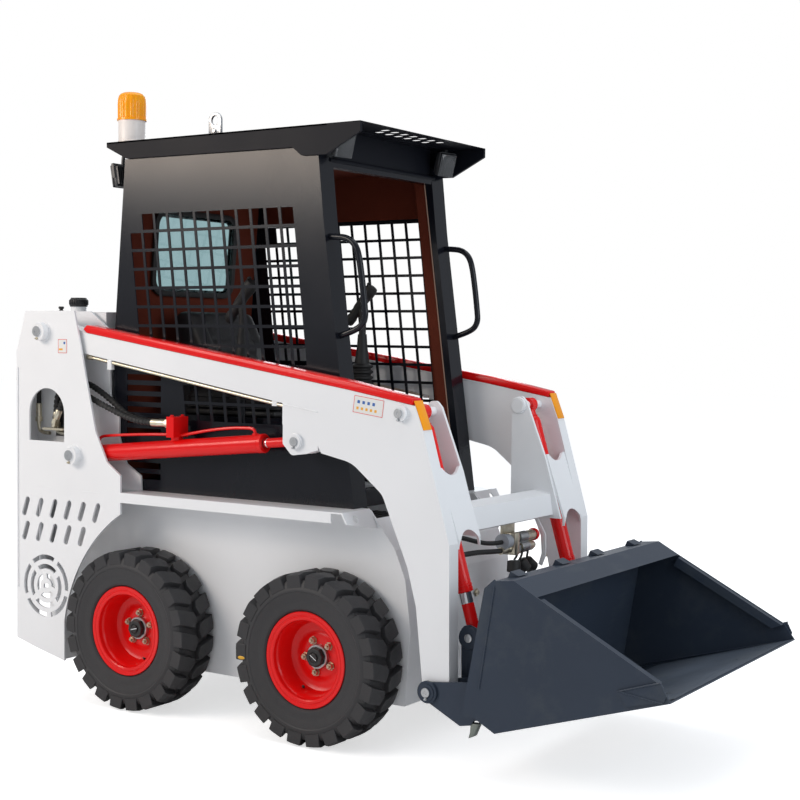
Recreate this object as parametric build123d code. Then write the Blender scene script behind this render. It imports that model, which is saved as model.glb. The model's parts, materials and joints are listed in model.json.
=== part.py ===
"""Compact skid steer loader on four solid-lug tyres, with a bucket.

Millimetres, +X forward, +Y left, +Z up. While it is modelled, X is counted from the
middle of the wheelbase; every piece is written with X from the middle of the overall
length, and Z from the ground.
"""
import math
import os

from build123d import *

# Overall sizes
wheelbase = 824
tyre_diameter = 590
tyre_width = 173
track_outer = 1074            # over the outer tyre walls
rear_face_x = -996            # rear plates of the towers
ground_clearance = 145

# Wheels
rim_flange_r = 164
rim_barrel_r = 142
rim_plate = 6
rim_inset = 14                # rim edge inside the tyre wall
disc_inset = 96               # from the outer tyre wall to the wheel disc
lugs_per_side = 22
lug_height = 19
lug_gap = 0.30                # share of a lug pitch that is groove
spindle_r = 25
hub_r = 62
hub_clearance = 0.05
housing_r = 48
housing_flange_r = 80

# Chassis tub
tub_tyre_gap = 14
tub_half_width = track_outer / 2 - tyre_width - tub_tyre_gap
tub_plate = 8
tub_rear_x = rear_face_x + 40
tub_front_x = 700
tub_nose_x = 720
tub_nose_z = 400
deck_z = 800                  # top of the side shelves
shelf_lip = 37
shelf_plate = 5
shelf_half_width = track_outer / 2 - 25
shelf_rear_x = -448
shelf_bend_x = 552
shelf_lip_end_x = 506
front_lip_run = 36            # the lip at the shelf's front leans forward as it drops
front_lip_drop = 65
shelf_front_x = 668
shelf_front_z = 668

# Towers: an outer and an inner plate on each side
tower_outer_y = 512
tower_inner_y = 404
tower_plate = 8
tower_top_z = 1466
tower_kink_z = 1307
tower_slope = 51              # how far the top corner stands ahead of the rear plate
arch_gap = 30                 # round the rear tyre

# Hinges of the rear door and the engine hood
hinge_r = 8
hinge_pin_r = 5
hood_axis = (-662, 1440)

# Main pins: X, Z in the side view
arm_pin = (-850, 1388)
lift_base_pin = (-680, 927)
lift_rod_pin = (346, 1025)
tilt_base_pin = (768, 1136)
coupler_pin = (891, 254)
tilt_rod_pin = (982, 421)
main_pin_r = 20
tilt_pin_r = 15
coupler_pin_r = 15
boss_r = 35
boss_length = 30
pin_proud = 3
running_gap = 0.05
seat_gap = 0.3                # between pieces that rest on each other
side_gap = 3                  # between a hub and the plates beside it

# Lift arm
arm_outer_y = 492
arm_width = 55
arm_wall = 6
rail_height = 30
leg_lug_y = 288               # inner face of the inner leg plate
leg_lug_plate = 12
cross_low_z = 733
cross_high_z = 832
cross_rear_x = 770
cross_front_x = 915

# Cylinders
lift_bore_r = 32
lift_shaft_r = 13
lift_eye_r = 30
lift_barrel_end_gap = 158     # from the barrel's end to the rod pin, closed
tilt_bore_r = 27
tilt_shaft_r = 15
tilt_eye_r = 26
tilt_barrel_end_gap = 146
eye_width = 38
bare_rod = 14                 # shaft that shows when a cylinder is closed
lift_neck = 84                # from the base pin to the barrel's round end
tilt_neck = 66
port_block_x = (-231, -196)
port_block_z = 1087
port_block_half = 38.5
port_fitting_end = -316

# Hoses from the tower to each lift cylinder
hose_r = 8
hose_fitting_r = 11
hose_fitting_length = 72
port_plate_z = 1012

# Cab
cab_half_width = 400
cab_sheet = 4
cab_rear_top_x = -533
cab_rear_low_x = -592
cab_front_top_x = 357
cab_front_knee = (384, 1775)
cab_front_low_x = 520
cab_top_z = 2030
post_width = 82
post_depth = 64
roof_half_width = 412
roof_top_z = 2095
roof_plate = 6
roof_rear_x = -616
roof_front_x = 541
visor_root = (401, 1992)
mesh_cell_x = 64.9
mesh_cell_z = 69.5
mesh_bar = 11
mesh_left_x = -515
mesh_top_z = 1824
mesh_lean = 0.12              # the upright bars run forward as they drop, as the front post does
window_half_width = 212
window_low_z = 1560
window_high_z = 1834
lining_plate = 3
lining_gap = 0.3

# Bucket, in the side view
bucket_half_width = 545
bucket_plate = 6
heel = (1156, 169)
edge_tip = (1730, 347)
back_low = (1080, 208)
back_knee = (1113, 428)
back_high = (1148, 640)
header_rear = (1217, 647)
header_front = (1285, 610)
side_front = (1690, 400)

wheel_x = (-wheelbase / 2, wheelbase / 2)
axle_z = tyre_diameter / 2
tyre_mid_y = (track_outer - tyre_width) / 2
hinge_x = rear_face_x - hinge_r - 1
mid_x = (hinge_x - hinge_r + edge_tip[0]) / 2
lift_barrel_length = math.dist(lift_base_pin, lift_rod_pin) - lift_barrel_end_gap
tilt_barrel_length = math.dist(tilt_base_pin, tilt_rod_pin) - tilt_barrel_end_gap
arm_inner_y = arm_outer_y - arm_width
arm_mid_y = arm_outer_y - arm_width / 2
tilt_mid_y = (arm_inner_y + leg_lug_y + leg_lug_plate) / 2


def block(x0, x1, y0, y1, z0, z1):
    """Axis-aligned block between two corners."""
    centre = ((x0 + x1) / 2, (y0 + y1) / 2, (z0 + z1) / 2)
    return Pos(*centre) * Box(abs(x1 - x0), abs(y1 - y0), abs(z1 - z0))


def outline(points, rounds=None):
    """Face in the XZ plane; rounds gives corner number and radius."""
    face = make_face(Polyline(*[(x, 0, z) for x, z in points], close=True))
    for corner, radius in (rounds or {}).items():
        x, z = points[corner]
        spot = Vector(x, 0, z)
        vertex = min(face.vertices(), key=lambda v: (Vector(*tuple(v)) - spot).length)
        face = fillet(vertex, radius)
    return face


def slab(face, y0, y1):
    """Face in the XZ plane made as thick as y0 to y1."""
    return Pos(0, min(y0, y1), 0) * extrude(face, amount=abs(y1 - y0), dir=(0, 1, 0))


def pin(centre, radius, y0, y1):
    """Round bar along Y through a point of the side view."""
    return Pos(centre[0], (y0 + y1) / 2, centre[1]) * Rot(90, 0, 0) * Cylinder(radius, abs(y1 - y0))


def rod(start, end, radius):
    """Round bar between two points in space."""
    start, end = Vector(*start), Vector(*end)
    plane = Plane(origin=start, z_dir=end - start)
    align = (Align.CENTER, Align.CENTER, Align.MIN)
    return plane * Cylinder(radius, (end - start).length, align=align)


def bent_bar(points, bend, radius):
    """Round bar that follows straight runs with bends of one radius."""
    path = FilletPolyline(*points, radius=bend)
    section = Plane(origin=path @ 0, z_dir=path % 0) * Circle(radius)
    return sweep(section, path=path)


def other_side(shape):
    """The same piece on the other side of the machine."""
    return mirror(shape, Plane.XZ)


def both(shape):
    """A right-hand piece and its mirror image, as one node."""
    return Compound([shape, other_side(shape)])


def toward(start, end, distance):
    """Point at a distance from start on the way to end, in the side view."""
    dx, dz = end[0] - start[0], end[1] - start[1]
    length = math.hypot(dx, dz)
    return (start[0] + dx * distance / length, start[1] + dz * distance / length)


def toward3(ends, distance):
    """Point at a distance from the first of two ends on the way to the other."""
    start, end = Vector(*ends[0]), Vector(*ends[1])
    return tuple(start + (end - start).normalized() * distance)


def save(name, shape):
    """Write one node with X counted from the middle of the overall length."""
    export_step(Pos(-mid_x, 0, 0) * shape, f"parts/{name}.step")


os.makedirs("parts", exist_ok=True)


# Tyres: a carcass with two staggered rows of block lugs

def tyre():
    """Tyre about the Y axis, middle plane at y 0."""
    half = tyre_width / 2
    top = tyre_diameter / 2
    base = top - lug_height
    side = [
        (rim_barrel_r + seat_gap, half - rim_inset - rim_plate - seat_gap),
        (rim_flange_r + 2, half - rim_inset - rim_plate - seat_gap),
        (rim_flange_r + 10, half - 8),
        (rim_flange_r + 40, half - 2),
        (base - 34, half - 2),
        (base - 6, half - 12),
        (base, half - 30),
    ]
    ring = [(r, y) for r, y in side] + [(r, -y) for r, y in reversed(side)]
    section = make_face(Polyline(*[(r, y, 0) for r, y in ring], close=True))
    carcass = revolve(section, Axis.Y)
    pitch = 360 / lugs_per_side
    chord = 2 * top * math.sin(math.radians(pitch * (1 - lug_gap) / 2))
    skew = chord * 0.34
    plan = [
        (-chord / 2 - skew * 0.2, half),
        (chord / 2 - skew * 0.2, half),
        (chord / 2 + skew, chord * 0.30),
        (skew * 0.9, 3),
        (-chord / 2 + skew, chord * 0.22),
    ]
    lug = extrude(make_face(Polyline(*[(x, y, 0) for x, y in plan], close=True)), top + 5)
    shoulder = [(base - 30, 0), (base - 30, half - 3), (base - 4, half), (top - 6, half), (top, half - 8), (top, 0)]
    trim = revolve(make_face(Polyline(*[(r, y, 0) for r, y in shoulder], close=True)), Axis.Y)
    lug = lug & trim
    lugs = []
    for count in range(lugs_per_side):
        lugs.append(Rot(0, count * pitch, 0) * lug)
        lugs.append(Rot(0, (count + 0.5) * pitch, 0) * mirror(lug, Plane.XZ))
    return carcass + lugs


def rim():
    """Wheel rim about the Y axis: y 0 at the tyre's middle, outer face toward -Y."""
    half = tyre_width / 2
    flange_y = half - rim_inset
    disc_y = half - disc_inset
    barrel = [
        (rim_barrel_r, -flange_y + rim_plate),
        (rim_flange_r, -flange_y + rim_plate),
        (rim_flange_r, -flange_y),
        (rim_barrel_r - rim_plate, -flange_y),
        (rim_barrel_r - rim_plate, -disc_y - rim_plate),
        (hub_r + 26, -disc_y + 14),
        (hub_r, -disc_y),
        (spindle_r + hub_clearance, -disc_y),
        (spindle_r + hub_clearance, -disc_y + 45),
        (hub_r, -disc_y + 45),
        (hub_r, -disc_y + 10),
        (hub_r + 26, -disc_y + 24),
        (rim_barrel_r - rim_plate, -disc_y + 4),
        (rim_barrel_r - rim_plate, flange_y),
        (rim_flange_r, flange_y),
        (rim_flange_r, flange_y - rim_plate),
        (rim_barrel_r, flange_y - rim_plate),
    ]
    return revolve(make_face(Polyline(*[(r, y, 0) for r, y in barrel], close=True)), Axis.Y)


one_tyre = tyre()
one_rim = rim()
# place name, axle number, side
wheel_places = (
    ("rear_right", 0, -1),
    ("rear_left", 0, 1),
    ("front_right", 1, -1),
    ("front_left", 1, 1),
)
for place, axle, side in wheel_places:
    for name, piece in (("tyre", one_tyre), ("rim", one_rim)):
        turned = piece if side < 0 else other_side(piece)
        save(f"{name}_{place}", Pos(wheel_x[axle], side * tyre_mid_y, axle_z) * turned)

# Axle housings that carry the wheels on spindles
disc_face_y = track_outer / 2 - disc_inset
hub_inner_y = disc_face_y - 45
housing = []
for x in wheel_x:
    centre = (x, axle_z)
    body = pin(centre, housing_flange_r, -tub_half_width, -tub_half_width - 12)
    body += pin(centre, housing_r, -tub_half_width, -hub_inner_y + side_gap)
    body += pin(centre, spindle_r, -tub_half_width, -disc_face_y + 4)
    housing.append(body)
save("axle_housings", Compound(housing + [other_side(h) for h in housing]))

# Chassis tub: two side plates, floor, front and rear plates
side_profile = [
    (tub_rear_x, ground_clearance + 20),
    (tub_rear_x + 90, ground_clearance),
    (tub_front_x, ground_clearance),
    (tub_nose_x, tub_nose_z),
    (tub_front_x - 3, 572),
    (shelf_front_x - 12, shelf_front_z),
    (shelf_bend_x, deck_z - shelf_plate),
    (tub_rear_x, deck_z - shelf_plate),
]
tub_face = outline(side_profile)
tub = slab(tub_face, -tub_half_width, tub_half_width)
hollow = [
    (rear_face_x, ground_clearance + 60),
    (rear_face_x + 132, ground_clearance + tub_plate),
    (tub_front_x - tub_plate, ground_clearance + tub_plate),
    (tub_nose_x - tub_plate, tub_nose_z),
    (tub_front_x - tub_plate - 3, 570),
    (shelf_front_x - tub_plate - 14, shelf_front_z - 4),
    (shelf_bend_x, deck_z),
    (rear_face_x, deck_z),
]
inside_y = tub_half_width - tub_plate
tub -= slab(outline(hollow), -inside_y, inside_y)
save("chassis_tub", tub)

# Side shelves over the wheels, with a lip and a front that slopes down
shelf = block(shelf_rear_x, shelf_bend_x, -shelf_half_width, -tub_half_width, deck_z - shelf_plate, deck_z)
shelf += block(shelf_rear_x, shelf_lip_end_x, -shelf_half_width, -shelf_half_width + shelf_plate, deck_z - shelf_lip, deck_z)
front_lip = [
    (shelf_bend_x - 6, deck_z),
    (shelf_bend_x, deck_z),
    (shelf_bend_x + front_lip_run, deck_z - front_lip_drop),
    (shelf_bend_x + front_lip_run - 6, deck_z - front_lip_drop),
]
front_lip = slab(outline(front_lip), -shelf_half_width, -tub_half_width)
lip_cut = [
    (0, -shelf_half_width - 1, deck_z - shelf_lip),
    (0, -tub_half_width, deck_z - front_lip_drop),
    (0, -shelf_half_width - 1, deck_z - front_lip_drop),
]
front_lip -= extrude(make_face(Polyline(*lip_cut, close=True)), amount=shelf_front_x, dir=(1, 0, 0))
lip_hole = (shelf_bend_x + 11, -shelf_half_width + 58, deck_z - 26)
lip_normal = (front_lip_drop, 0, front_lip_run)
front_lip -= Plane(origin=lip_hole, z_dir=lip_normal) * Cylinder(14, 40)
shelf += front_lip
save("side_shelves", both(shelf))


# Towers: plates that hold the arm pin and the foot of the lift cylinder

arch_top = (shelf_rear_x, 720)
arch_r = tyre_diameter / 2 + arch_gap
arch_low = (wheel_x[0] - arch_r, axle_z)
tower_front = [
    (rear_face_x + 312, tower_top_z),
    (-574, 1020),
    (-516, 909),
    (shelf_rear_x, 863),
]
arch_middle = (wheel_x[0] - 190, 588)
tower_bottom = [
    (wheel_x[0] - arch_r, ground_clearance - 4),
    (rear_face_x + 120, ground_clearance + 25),
    (rear_face_x, ground_clearance + 55),
]
tower_rear = [(rear_face_x, tower_kink_z), (rear_face_x + tower_slope, tower_top_z)]


def tower_outline():
    """Face of the outer tower plate in the side view."""
    chain = [*tower_bottom, *tower_rear, *tower_front, arch_top]
    lines = Polyline(*[(x, 0, z) for x, z in chain])
    arch = ThreePointArc(
        (arch_top[0], 0, arch_top[1]),
        (arch_middle[0], 0, arch_middle[1]),
        (arch_low[0], 0, arch_low[1]),
    )
    low_x, low_z = tower_bottom[0]
    foot = Line((arch_low[0], 0, arch_low[1]), (low_x, 0, low_z))
    return make_face(lines + arch + foot)


window_r = 94
window_centre = (-831, 1079)
window_low = 972
slot_length = 78
slot_width = 24
slot_lean = 20
# first slot's X, row's Z
slot_rows = ((-945, 716), (-945, 622))
slot_counts = (6, 5)
slot_pitch = 75
grille_centre = (-836, 417)
# inner radius, outer radius of each ring of arcs
grille_rings = ((30, 48), (66, 84), (102, 120))
grille_counts = (3, 4, 5)
grille_start_angles = (20, 50, 10)
grille_bridge = 22            # width of the webs between the arcs


def ring_slots(centre, inner, outer, count, start):
    """Arc-shaped slots round a centre of the side view."""
    ring = pin(centre, outer, -10, 10) - pin(centre, inner, -11, 11)
    for number in range(count):
        web = Pos(centre[0], 0, centre[1]) * Rot(0, start + number * 360 / count, 0)
        ring -= web * block(0, outer + 5, -11, 11, -grille_bridge / 2, grille_bridge / 2)
    return ring


def tower_cuts():
    """Openings of the outer plate, centred on y 0 and thicker than the plate."""
    x, z = window_centre
    cuts = [pin(window_centre, window_r, -10, 10), block(x - window_r, x + window_r, -10, 10, window_low, z)]
    for (first_x, row_z), count in zip(slot_rows, slot_counts):
        for number in range(count):
            middle = Pos(first_x + number * slot_pitch, 0, row_z) * Rot(0, slot_lean, 0)
            half = slot_length / 2 - slot_width / 2
            slot = block(-slot_width / 2, slot_width / 2, -10, 10, -half, half)
            slot += pin((0, half), slot_width / 2, -10, 10) + pin((0, -half), slot_width / 2, -10, 10)
            cuts.append(middle * slot)
    cuts.append(block(grille_centre[0] - 12, grille_centre[0] + 12, -10, 10, grille_centre[1] - 8, grille_centre[1] + 8))
    for (inner, outer), count, start in zip(grille_rings, grille_counts, grille_start_angles):
        cuts.append(ring_slots(grille_centre, inner, outer, count, start))
    return cuts


inner_profile = [
    (rear_face_x + tower_plate, deck_z),
    (rear_face_x + tower_plate, tower_kink_z),
    (rear_face_x + tower_slope + tower_plate, tower_top_z),
    (-702, tower_top_z),
    (-605, 1400),
    (-596, 1150),
    (-551, 1070),
    (-551, 997),
    (-514, 897),
    (-441, 856),
    (-438, deck_z),
]


def tower():
    """Right tower."""
    outer = slab(tower_outline(), -tower_outer_y, -tower_outer_y + tower_plate)
    for cut in tower_cuts():
        outer -= Pos(0, -tower_outer_y, 0) * cut
    body = outer + slab(outline(inner_profile), -tower_inner_y - tower_plate, -tower_inner_y)
    rear_strip = [
        (rear_face_x, ground_clearance + 55),
        *tower_rear,
        (rear_face_x + tower_slope + tower_plate, tower_top_z),
        (rear_face_x + tower_plate, tower_kink_z),
        (rear_face_x + tower_plate, ground_clearance + 55),
    ]
    body += slab(outline(rear_strip), -tower_outer_y, -tower_inner_y)
    for x, z in (arm_pin, lift_base_pin):
        centre = (x, z)
        body += pin(centre, boss_r, -tower_outer_y - boss_length, -tower_outer_y)
        body += pin(centre, boss_r, -tower_inner_y, -tower_inner_y + 10)
        body += pin(centre, main_pin_r, -tower_outer_y - boss_length - pin_proud, -tower_inner_y + 10)
    skirt = [
        (arch_low[0] - 10, ground_clearance),
        (arch_low[0] - 4, ground_clearance),
        (arch_low[0] - 4, axle_z),
        (arch_low[0] - 10, axle_z),
    ]
    body += slab(outline(skirt), -tower_outer_y + tower_plate, -tub_half_width)
    return body


def door_hinge_pin(z):
    """Half of a door hinge on the left tower: a leaf, a knuckle and a pin that stands up."""
    x, y = hinge_x, tower_inner_y - 3
    low = z - hinge_length / 2 - 1
    leaf = block(rear_face_x - 5, rear_face_x, y, y + 40, low - 30, low)
    piece = leaf + Pos(x, y, low - 15) * Cylinder(hinge_r, 30)
    return piece + Pos(x, y, z - 15) * Cylinder(hinge_pin_r, hinge_length + 30)


door_hinges = (620, 1130)
hinge_length = 60
right_tower = tower()
left_tower = other_side(right_tower)
for z in door_hinges:
    left_tower += door_hinge_pin(z)
left_tower += pin(hood_axis, hinge_pin_r, tower_inner_y - 22, tower_inner_y)
save("tower_right", right_tower)
save("tower_left", left_tower)

# Rear bumper between the towers, and the engine behind the seat
bumper_profile = [
    (rear_face_x, ground_clearance + 56),
    (rear_face_x, 420),
    (rear_face_x + 60, 420),
    (rear_face_x + 60, ground_clearance + 64),
]
bumper_half = inside_y - seat_gap
save("rear_bumper", slab(outline(bumper_profile), -bumper_half, bumper_half))
engine_low_z = 360
engine = block(-930, -605, -210, 210, engine_low_z, 980)
for y in (-190, 190):
    for x in (-825, -660):
        engine += block(x - 30, x + 30, y - 20, y + 20, ground_clearance + tub_plate + seat_gap, engine_low_z)
save("engine_block", engine)

# Hydraulic tank with its filler neck, beside the engine hood
tank_left_y = -232
hood_plate = 6
filler_centre = (-878, -300)
tank = block(-930, -640, -tower_inner_y + 14, tank_left_y, 1010, tower_top_z - 4)
tank -= block(-924, -646, -tower_inner_y + 20, tank_left_y - 6, 1016, tower_top_z - 10)
for z in (1040, 1260):
    tank += block(-800, -720, -tower_inner_y + seat_gap, -tower_inner_y + 14, z, z + 30)
tank += pin(hood_axis, hinge_pin_r, tank_left_y, tank_left_y + 16)
neck_top_z = tower_top_z + 20
tank += Pos(*filler_centre, tower_top_z + 6) * Cylinder(30, 28)
save("hydraulic_tank", tank)
cap = Pos(*filler_centre, neck_top_z + 15) * Cylinder(42, 30)
cap += Pos(*filler_centre, neck_top_z + 33) * Cylinder(36, 6)
save("filler_cap", cap)

# Engine hood, hinged at its front edge, and the rear door, hinged on its left
hood_front_x = -640
hood_rear_x = rear_face_x + tower_slope + 16
hood = block(hood_rear_x, hood_front_x, tank_left_y + 5, tower_inner_y - 14, 1400, tower_top_z)
hood -= block(hood_rear_x + hood_plate, hood_front_x - hood_plate, tank_left_y + 11, tower_inner_y - 20, 1390, tower_top_z - hood_plate)
skirt_low_z = 1312
hood += block(hood_rear_x, hood_rear_x + hood_plate, tank_left_y + 5, tower_inner_y - 14, skirt_low_z, 1402)
for y in (tank_left_y + 8, tower_inner_y - 17):
    hood -= pin(hood_axis, hinge_pin_r + running_gap, y - 6, y + 6)
save("engine_hood", hood)
door_half = tower_inner_y - 6
door_low = 430
door_high = 1300
door = block(rear_face_x, rear_face_x + 30, -door_half, door_half, door_low, door_high)
door -= block(rear_face_x + 5, rear_face_x + 40, -door_half + 6, door_half - 6, door_low + 6, door_high - 6)
louvre_count = 9
louvre_pitch = 60
for number in range(louvre_count):
    z = door_low + 190 + number * louvre_pitch
    door -= block(rear_face_x - 5, rear_face_x + 8, -door_half + 110, door_half - 110, z, z + 22)
hinge_y = tower_inner_y - 3
for z in door_hinges:
    knuckle = Pos(hinge_x, hinge_y, z) * Cylinder(hinge_r, hinge_length)
    low, high = z - hinge_length / 2, z + hinge_length / 2
    door += block(rear_face_x - 5, rear_face_x, hinge_y - 40, hinge_y, low, high) + knuckle
    door -= Pos(hinge_x, hinge_y, z) * Cylinder(hinge_pin_r + running_gap, hinge_length + 2)
save("rear_door", door)


# Cab: mesh side panels, front frame, rear wall, roof with a visor, brown lining

side_panel = [
    (cab_rear_low_x, deck_z + seat_gap),
    (cab_rear_low_x, 1300),
    (cab_rear_top_x, cab_top_z),
    (cab_front_top_x, cab_top_z),
    cab_front_knee,
    (cab_front_low_x, deck_z + seat_gap),
]
# row's lowest Z counted in cells from the top, first column, last column
mesh_row_counts = [
    (0, 1, 12),
    (1, 0, 12),
    (2, 0, 12),
    (3, 0, 12),
    (4, 0, 12),
    (5, 0, 12),
    (6, 0, 12),
    (7, 0, 12),
    (8, 3, 12),
    (9, 3, 12),
    (10, 3, 12),
]
vent_left_x = -522
vent_right_x = -352
vent_rows = (1232, 905)
vent_counts = (6, 2)
vent_pitch = 40
vent_height = 22


def mesh_edge(x, z):
    """X at a height on the leaning bar that starts at x beside the top row."""
    return x + (mesh_top_z - z) * mesh_lean


def mesh_panel():
    """Right side panel with leaning holes in straight rows and low vents."""
    panel = slab(outline(side_panel), -cab_half_width, -cab_half_width + cab_sheet)
    holes = []
    for row, first, last in mesh_row_counts:
        z1 = mesh_top_z - row * mesh_cell_z
        z0 = z1 - mesh_cell_z + mesh_bar
        for column in range(first, last):
            x0 = mesh_left_x + column * mesh_cell_x
            x1 = x0 + mesh_cell_x - mesh_bar
            corners = [(mesh_edge(x0, z0), z0), (mesh_edge(x1, z0), z0), (mesh_edge(x1, z1), z1), (mesh_edge(x0, z1), z1)]
            holes.append(slab(outline(corners), -cab_half_width - 2, -cab_half_width + cab_sheet + 2))
    for top_z, count in zip(vent_rows, vent_counts):
        for number in range(count):
            z1 = top_z - number * vent_pitch
            holes.append(block(vent_left_x, vent_right_x, -cab_half_width - 2, -cab_half_width + cab_sheet + 2, z1 - vent_height, z1))
    return panel - holes


right_panel = mesh_panel()
save("cab_side_right", right_panel)
save("cab_side_left", other_side(right_panel))

post_profile = [
    (cab_front_top_x, cab_top_z - 4),
    cab_front_knee,
    (cab_front_low_x, deck_z + seat_gap),
    (cab_front_low_x - post_depth, deck_z + seat_gap),
    (cab_front_knee[0] - post_depth, cab_front_knee[1]),
    (cab_front_top_x - post_depth, cab_top_z - 4),
]
panel_inner_y = cab_half_width - cab_sheet
post = slab(outline(post_profile), -panel_inner_y, -cab_half_width + post_width)
header = block(cab_front_top_x - 30, cab_front_top_x + 5, -cab_half_width + post_width, cab_half_width - post_width, cab_top_z - 70, cab_top_z - 40)
sill = block(cab_front_low_x - 40, cab_front_low_x - 6, -cab_half_width + post_width, cab_half_width - post_width, deck_z + seat_gap, deck_z + 60)
save("cab_front_frame", post + other_side(post) + header + sill)

rear_wall_profile = [
    (cab_rear_low_x + 2, deck_z + seat_gap),
    (cab_rear_low_x + 2, 1300),
    (cab_rear_top_x + 2, cab_top_z),
    (cab_rear_top_x + 2 + cab_sheet, cab_top_z),
    (cab_rear_low_x + 2 + cab_sheet, 1300),
    (cab_rear_low_x + 2 + cab_sheet, deck_z + seat_gap),
]
rear_wall = slab(outline(rear_wall_profile), -panel_inner_y, panel_inner_y)
rear_wall -= block(-650, -500, -window_half_width, window_half_width, window_low_z, window_high_z)
save("cab_rear_wall", rear_wall)


def on_rear_wall(z):
    """X of the rear wall's outer face at a height."""
    share = max(0, (z - 1300) / (cab_top_z - 1300))
    return cab_rear_low_x + 2 + share * (cab_rear_top_x - cab_rear_low_x)


glass_profile = [
    (on_rear_wall(window_low_z - 15) + cab_sheet + 0.3, window_low_z - 15),
    (on_rear_wall(window_high_z + 15) + cab_sheet + 0.3, window_high_z + 15),
    (on_rear_wall(window_high_z + 15) + cab_sheet + 6, window_high_z + 15),
    (on_rear_wall(window_low_z - 15) + cab_sheet + 6, window_low_z - 15),
]
save("rear_window_glass", slab(outline(glass_profile), -window_half_width - 15, window_half_width + 15))

# Roof: top plate, side skirts with a step at the front, and a sloping visor
skirt_profile = [
    (roof_rear_x, roof_top_z),
    (roof_front_x, roof_top_z),
    (roof_front_x, roof_top_z - 34),
    visor_root,
    (297, visor_root[1] + 2),
    (258, cab_top_z - 6),
    (-516, cab_top_z),
    (roof_rear_x, roof_top_z - 18),
]
roof = block(roof_rear_x, roof_front_x, -roof_half_width, roof_half_width, roof_top_z - roof_plate, roof_top_z)
skirt_side = slab(outline(skirt_profile), -roof_half_width, -cab_half_width - seat_gap)
roof += skirt_side + other_side(skirt_side)
roof += block(roof_front_x - roof_plate, roof_front_x, -roof_half_width, roof_half_width, roof_top_z - 34, roof_top_z)
rear_drop = block(cab_rear_top_x - 40, cab_rear_top_x - 34, -cab_half_width, cab_half_width, roof_top_z - 40, roof_top_z - 1)
roof += rear_drop
slot_rows_roof = ((roof_front_x - 34, 0), (roof_front_x - 58, 0.5))
for x, shift in slot_rows_roof:
    for number in range(7):
        y = -270 + (number + shift) * 68
        roof -= block(x - 7, x + 7, y, y + 42, roof_top_z - 20, roof_top_z + 5)
eye_r = 28
eye_hole_r = 17.5
eye_height = 52
lifting_eye = block(-eye_r, eye_r, -4, 4, 0, eye_height) + pin((0, eye_height), eye_r, -4, 4)
lifting_eye -= pin((0, eye_height), eye_hole_r, -6, 6)
for side in (-1, 1):
    roof += Pos(-120, side * (cab_half_width - 30), roof_top_z) * lifting_eye
save("cab_roof", roof)

# Brown lining inside the cab: side strips round the mesh, ceiling and rear
lining_y = panel_inner_y - lining_gap
ceiling_y = lining_y - lining_plate - seat_gap
ceiling = block(cab_rear_top_x + 30, cab_front_top_x - post_depth - 4, -ceiling_y, ceiling_y, cab_top_z - 14 - lining_plate, cab_top_z - 14)
upper_strip = [
    (cab_rear_top_x + 34, mesh_top_z + 16),
    (cab_front_knee[0] - post_depth - 14, mesh_top_z + 16),
    (cab_front_top_x - post_depth - 6, cab_top_z - 14),
    (cab_rear_top_x + 26, cab_top_z - 14),
]
strip = slab(outline(upper_strip), -lining_y, -lining_y + lining_plate)
mesh_front_x = mesh_left_x + 12 * mesh_cell_x - mesh_bar
strip_low_z = 1040
front_strip = [
    (mesh_edge(mesh_front_x + 6, mesh_top_z + 14), mesh_top_z + 14),
    (cab_front_knee[0] - post_depth - 14, mesh_top_z + 14),
    (cab_front_knee[0] - post_depth - 4, cab_front_knee[1]),
    (cab_front_low_x - post_depth - 6, deck_z + 12),
    (mesh_edge(mesh_front_x + 6, strip_low_z) + 14, deck_z + 12),
    (mesh_edge(mesh_front_x + 6, strip_low_z), strip_low_z),
]
strip += slab(outline(front_strip), -lining_y, -lining_y + lining_plate)
save("cab_lining", Compound([ceiling, strip, other_side(strip)]))

# Floor with the seat box, and the seat
floor_z = deck_z - 110
box_top_z = 1080
floor = block(-540, 640 - 20, -bumper_half, bumper_half, floor_z, floor_z + 5)
seat_box = block(-500, 10, -250, 250, floor_z + 5, box_top_z)
seat_box -= block(-494, 4, -244, 244, floor_z + 5, box_top_z - 6)
save("cab_floor", floor + seat_box)
cushion_top_z = box_top_z + 105
cushion = block(-410, 30, -215, 215, box_top_z + seat_gap, cushion_top_z)
cushion = fillet(cushion.edges().filter_by(Axis.Z), 50)
seat_back = [
    (-408, cushion_top_z + seat_gap),
    (-308, cushion_top_z + seat_gap),
    (-330, cushion_top_z + 145),
    (-402, cushion_top_z + 284),
    (-470, cushion_top_z + 290),
    (-498, cushion_top_z + 248),
    (-446, cushion_top_z + 70),
]
back = slab(outline(seat_back, {2: 60, 3: 30, 4: 30, 5: 30}), -185, 185)
save("seat", Compound([cushion, back]))

# Two control levers with bellows, either side of the seat, the left one stood further forward
levers = []
boot_low_z = 1205
boot_top_z = 1335
lever_y = bumper_half - 44
for x, y in ((-50, -lever_y), (62, lever_y)):
    foot = Pos(x, y, floor_z + 5) * Cylinder(42, 30, align=(Align.CENTER, Align.CENTER, Align.MIN))
    mast = rod((x, y, floor_z + 30), (x, y, boot_low_z), 12)
    bellows = Pos(x, y, boot_low_z) * Cone(42, 26, boot_top_z - boot_low_z, align=(Align.CENTER, Align.CENTER, Align.MIN))
    stick = rod((x, y, boot_top_z - 10), (x - 8, y, 1490), 15)
    grip = rod((x - 66, y, 1442), (x + 16, y, 1564), 22)
    levers.append(foot + mast + bellows + stick + grip)
save("control_levers", Compound(levers))

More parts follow.
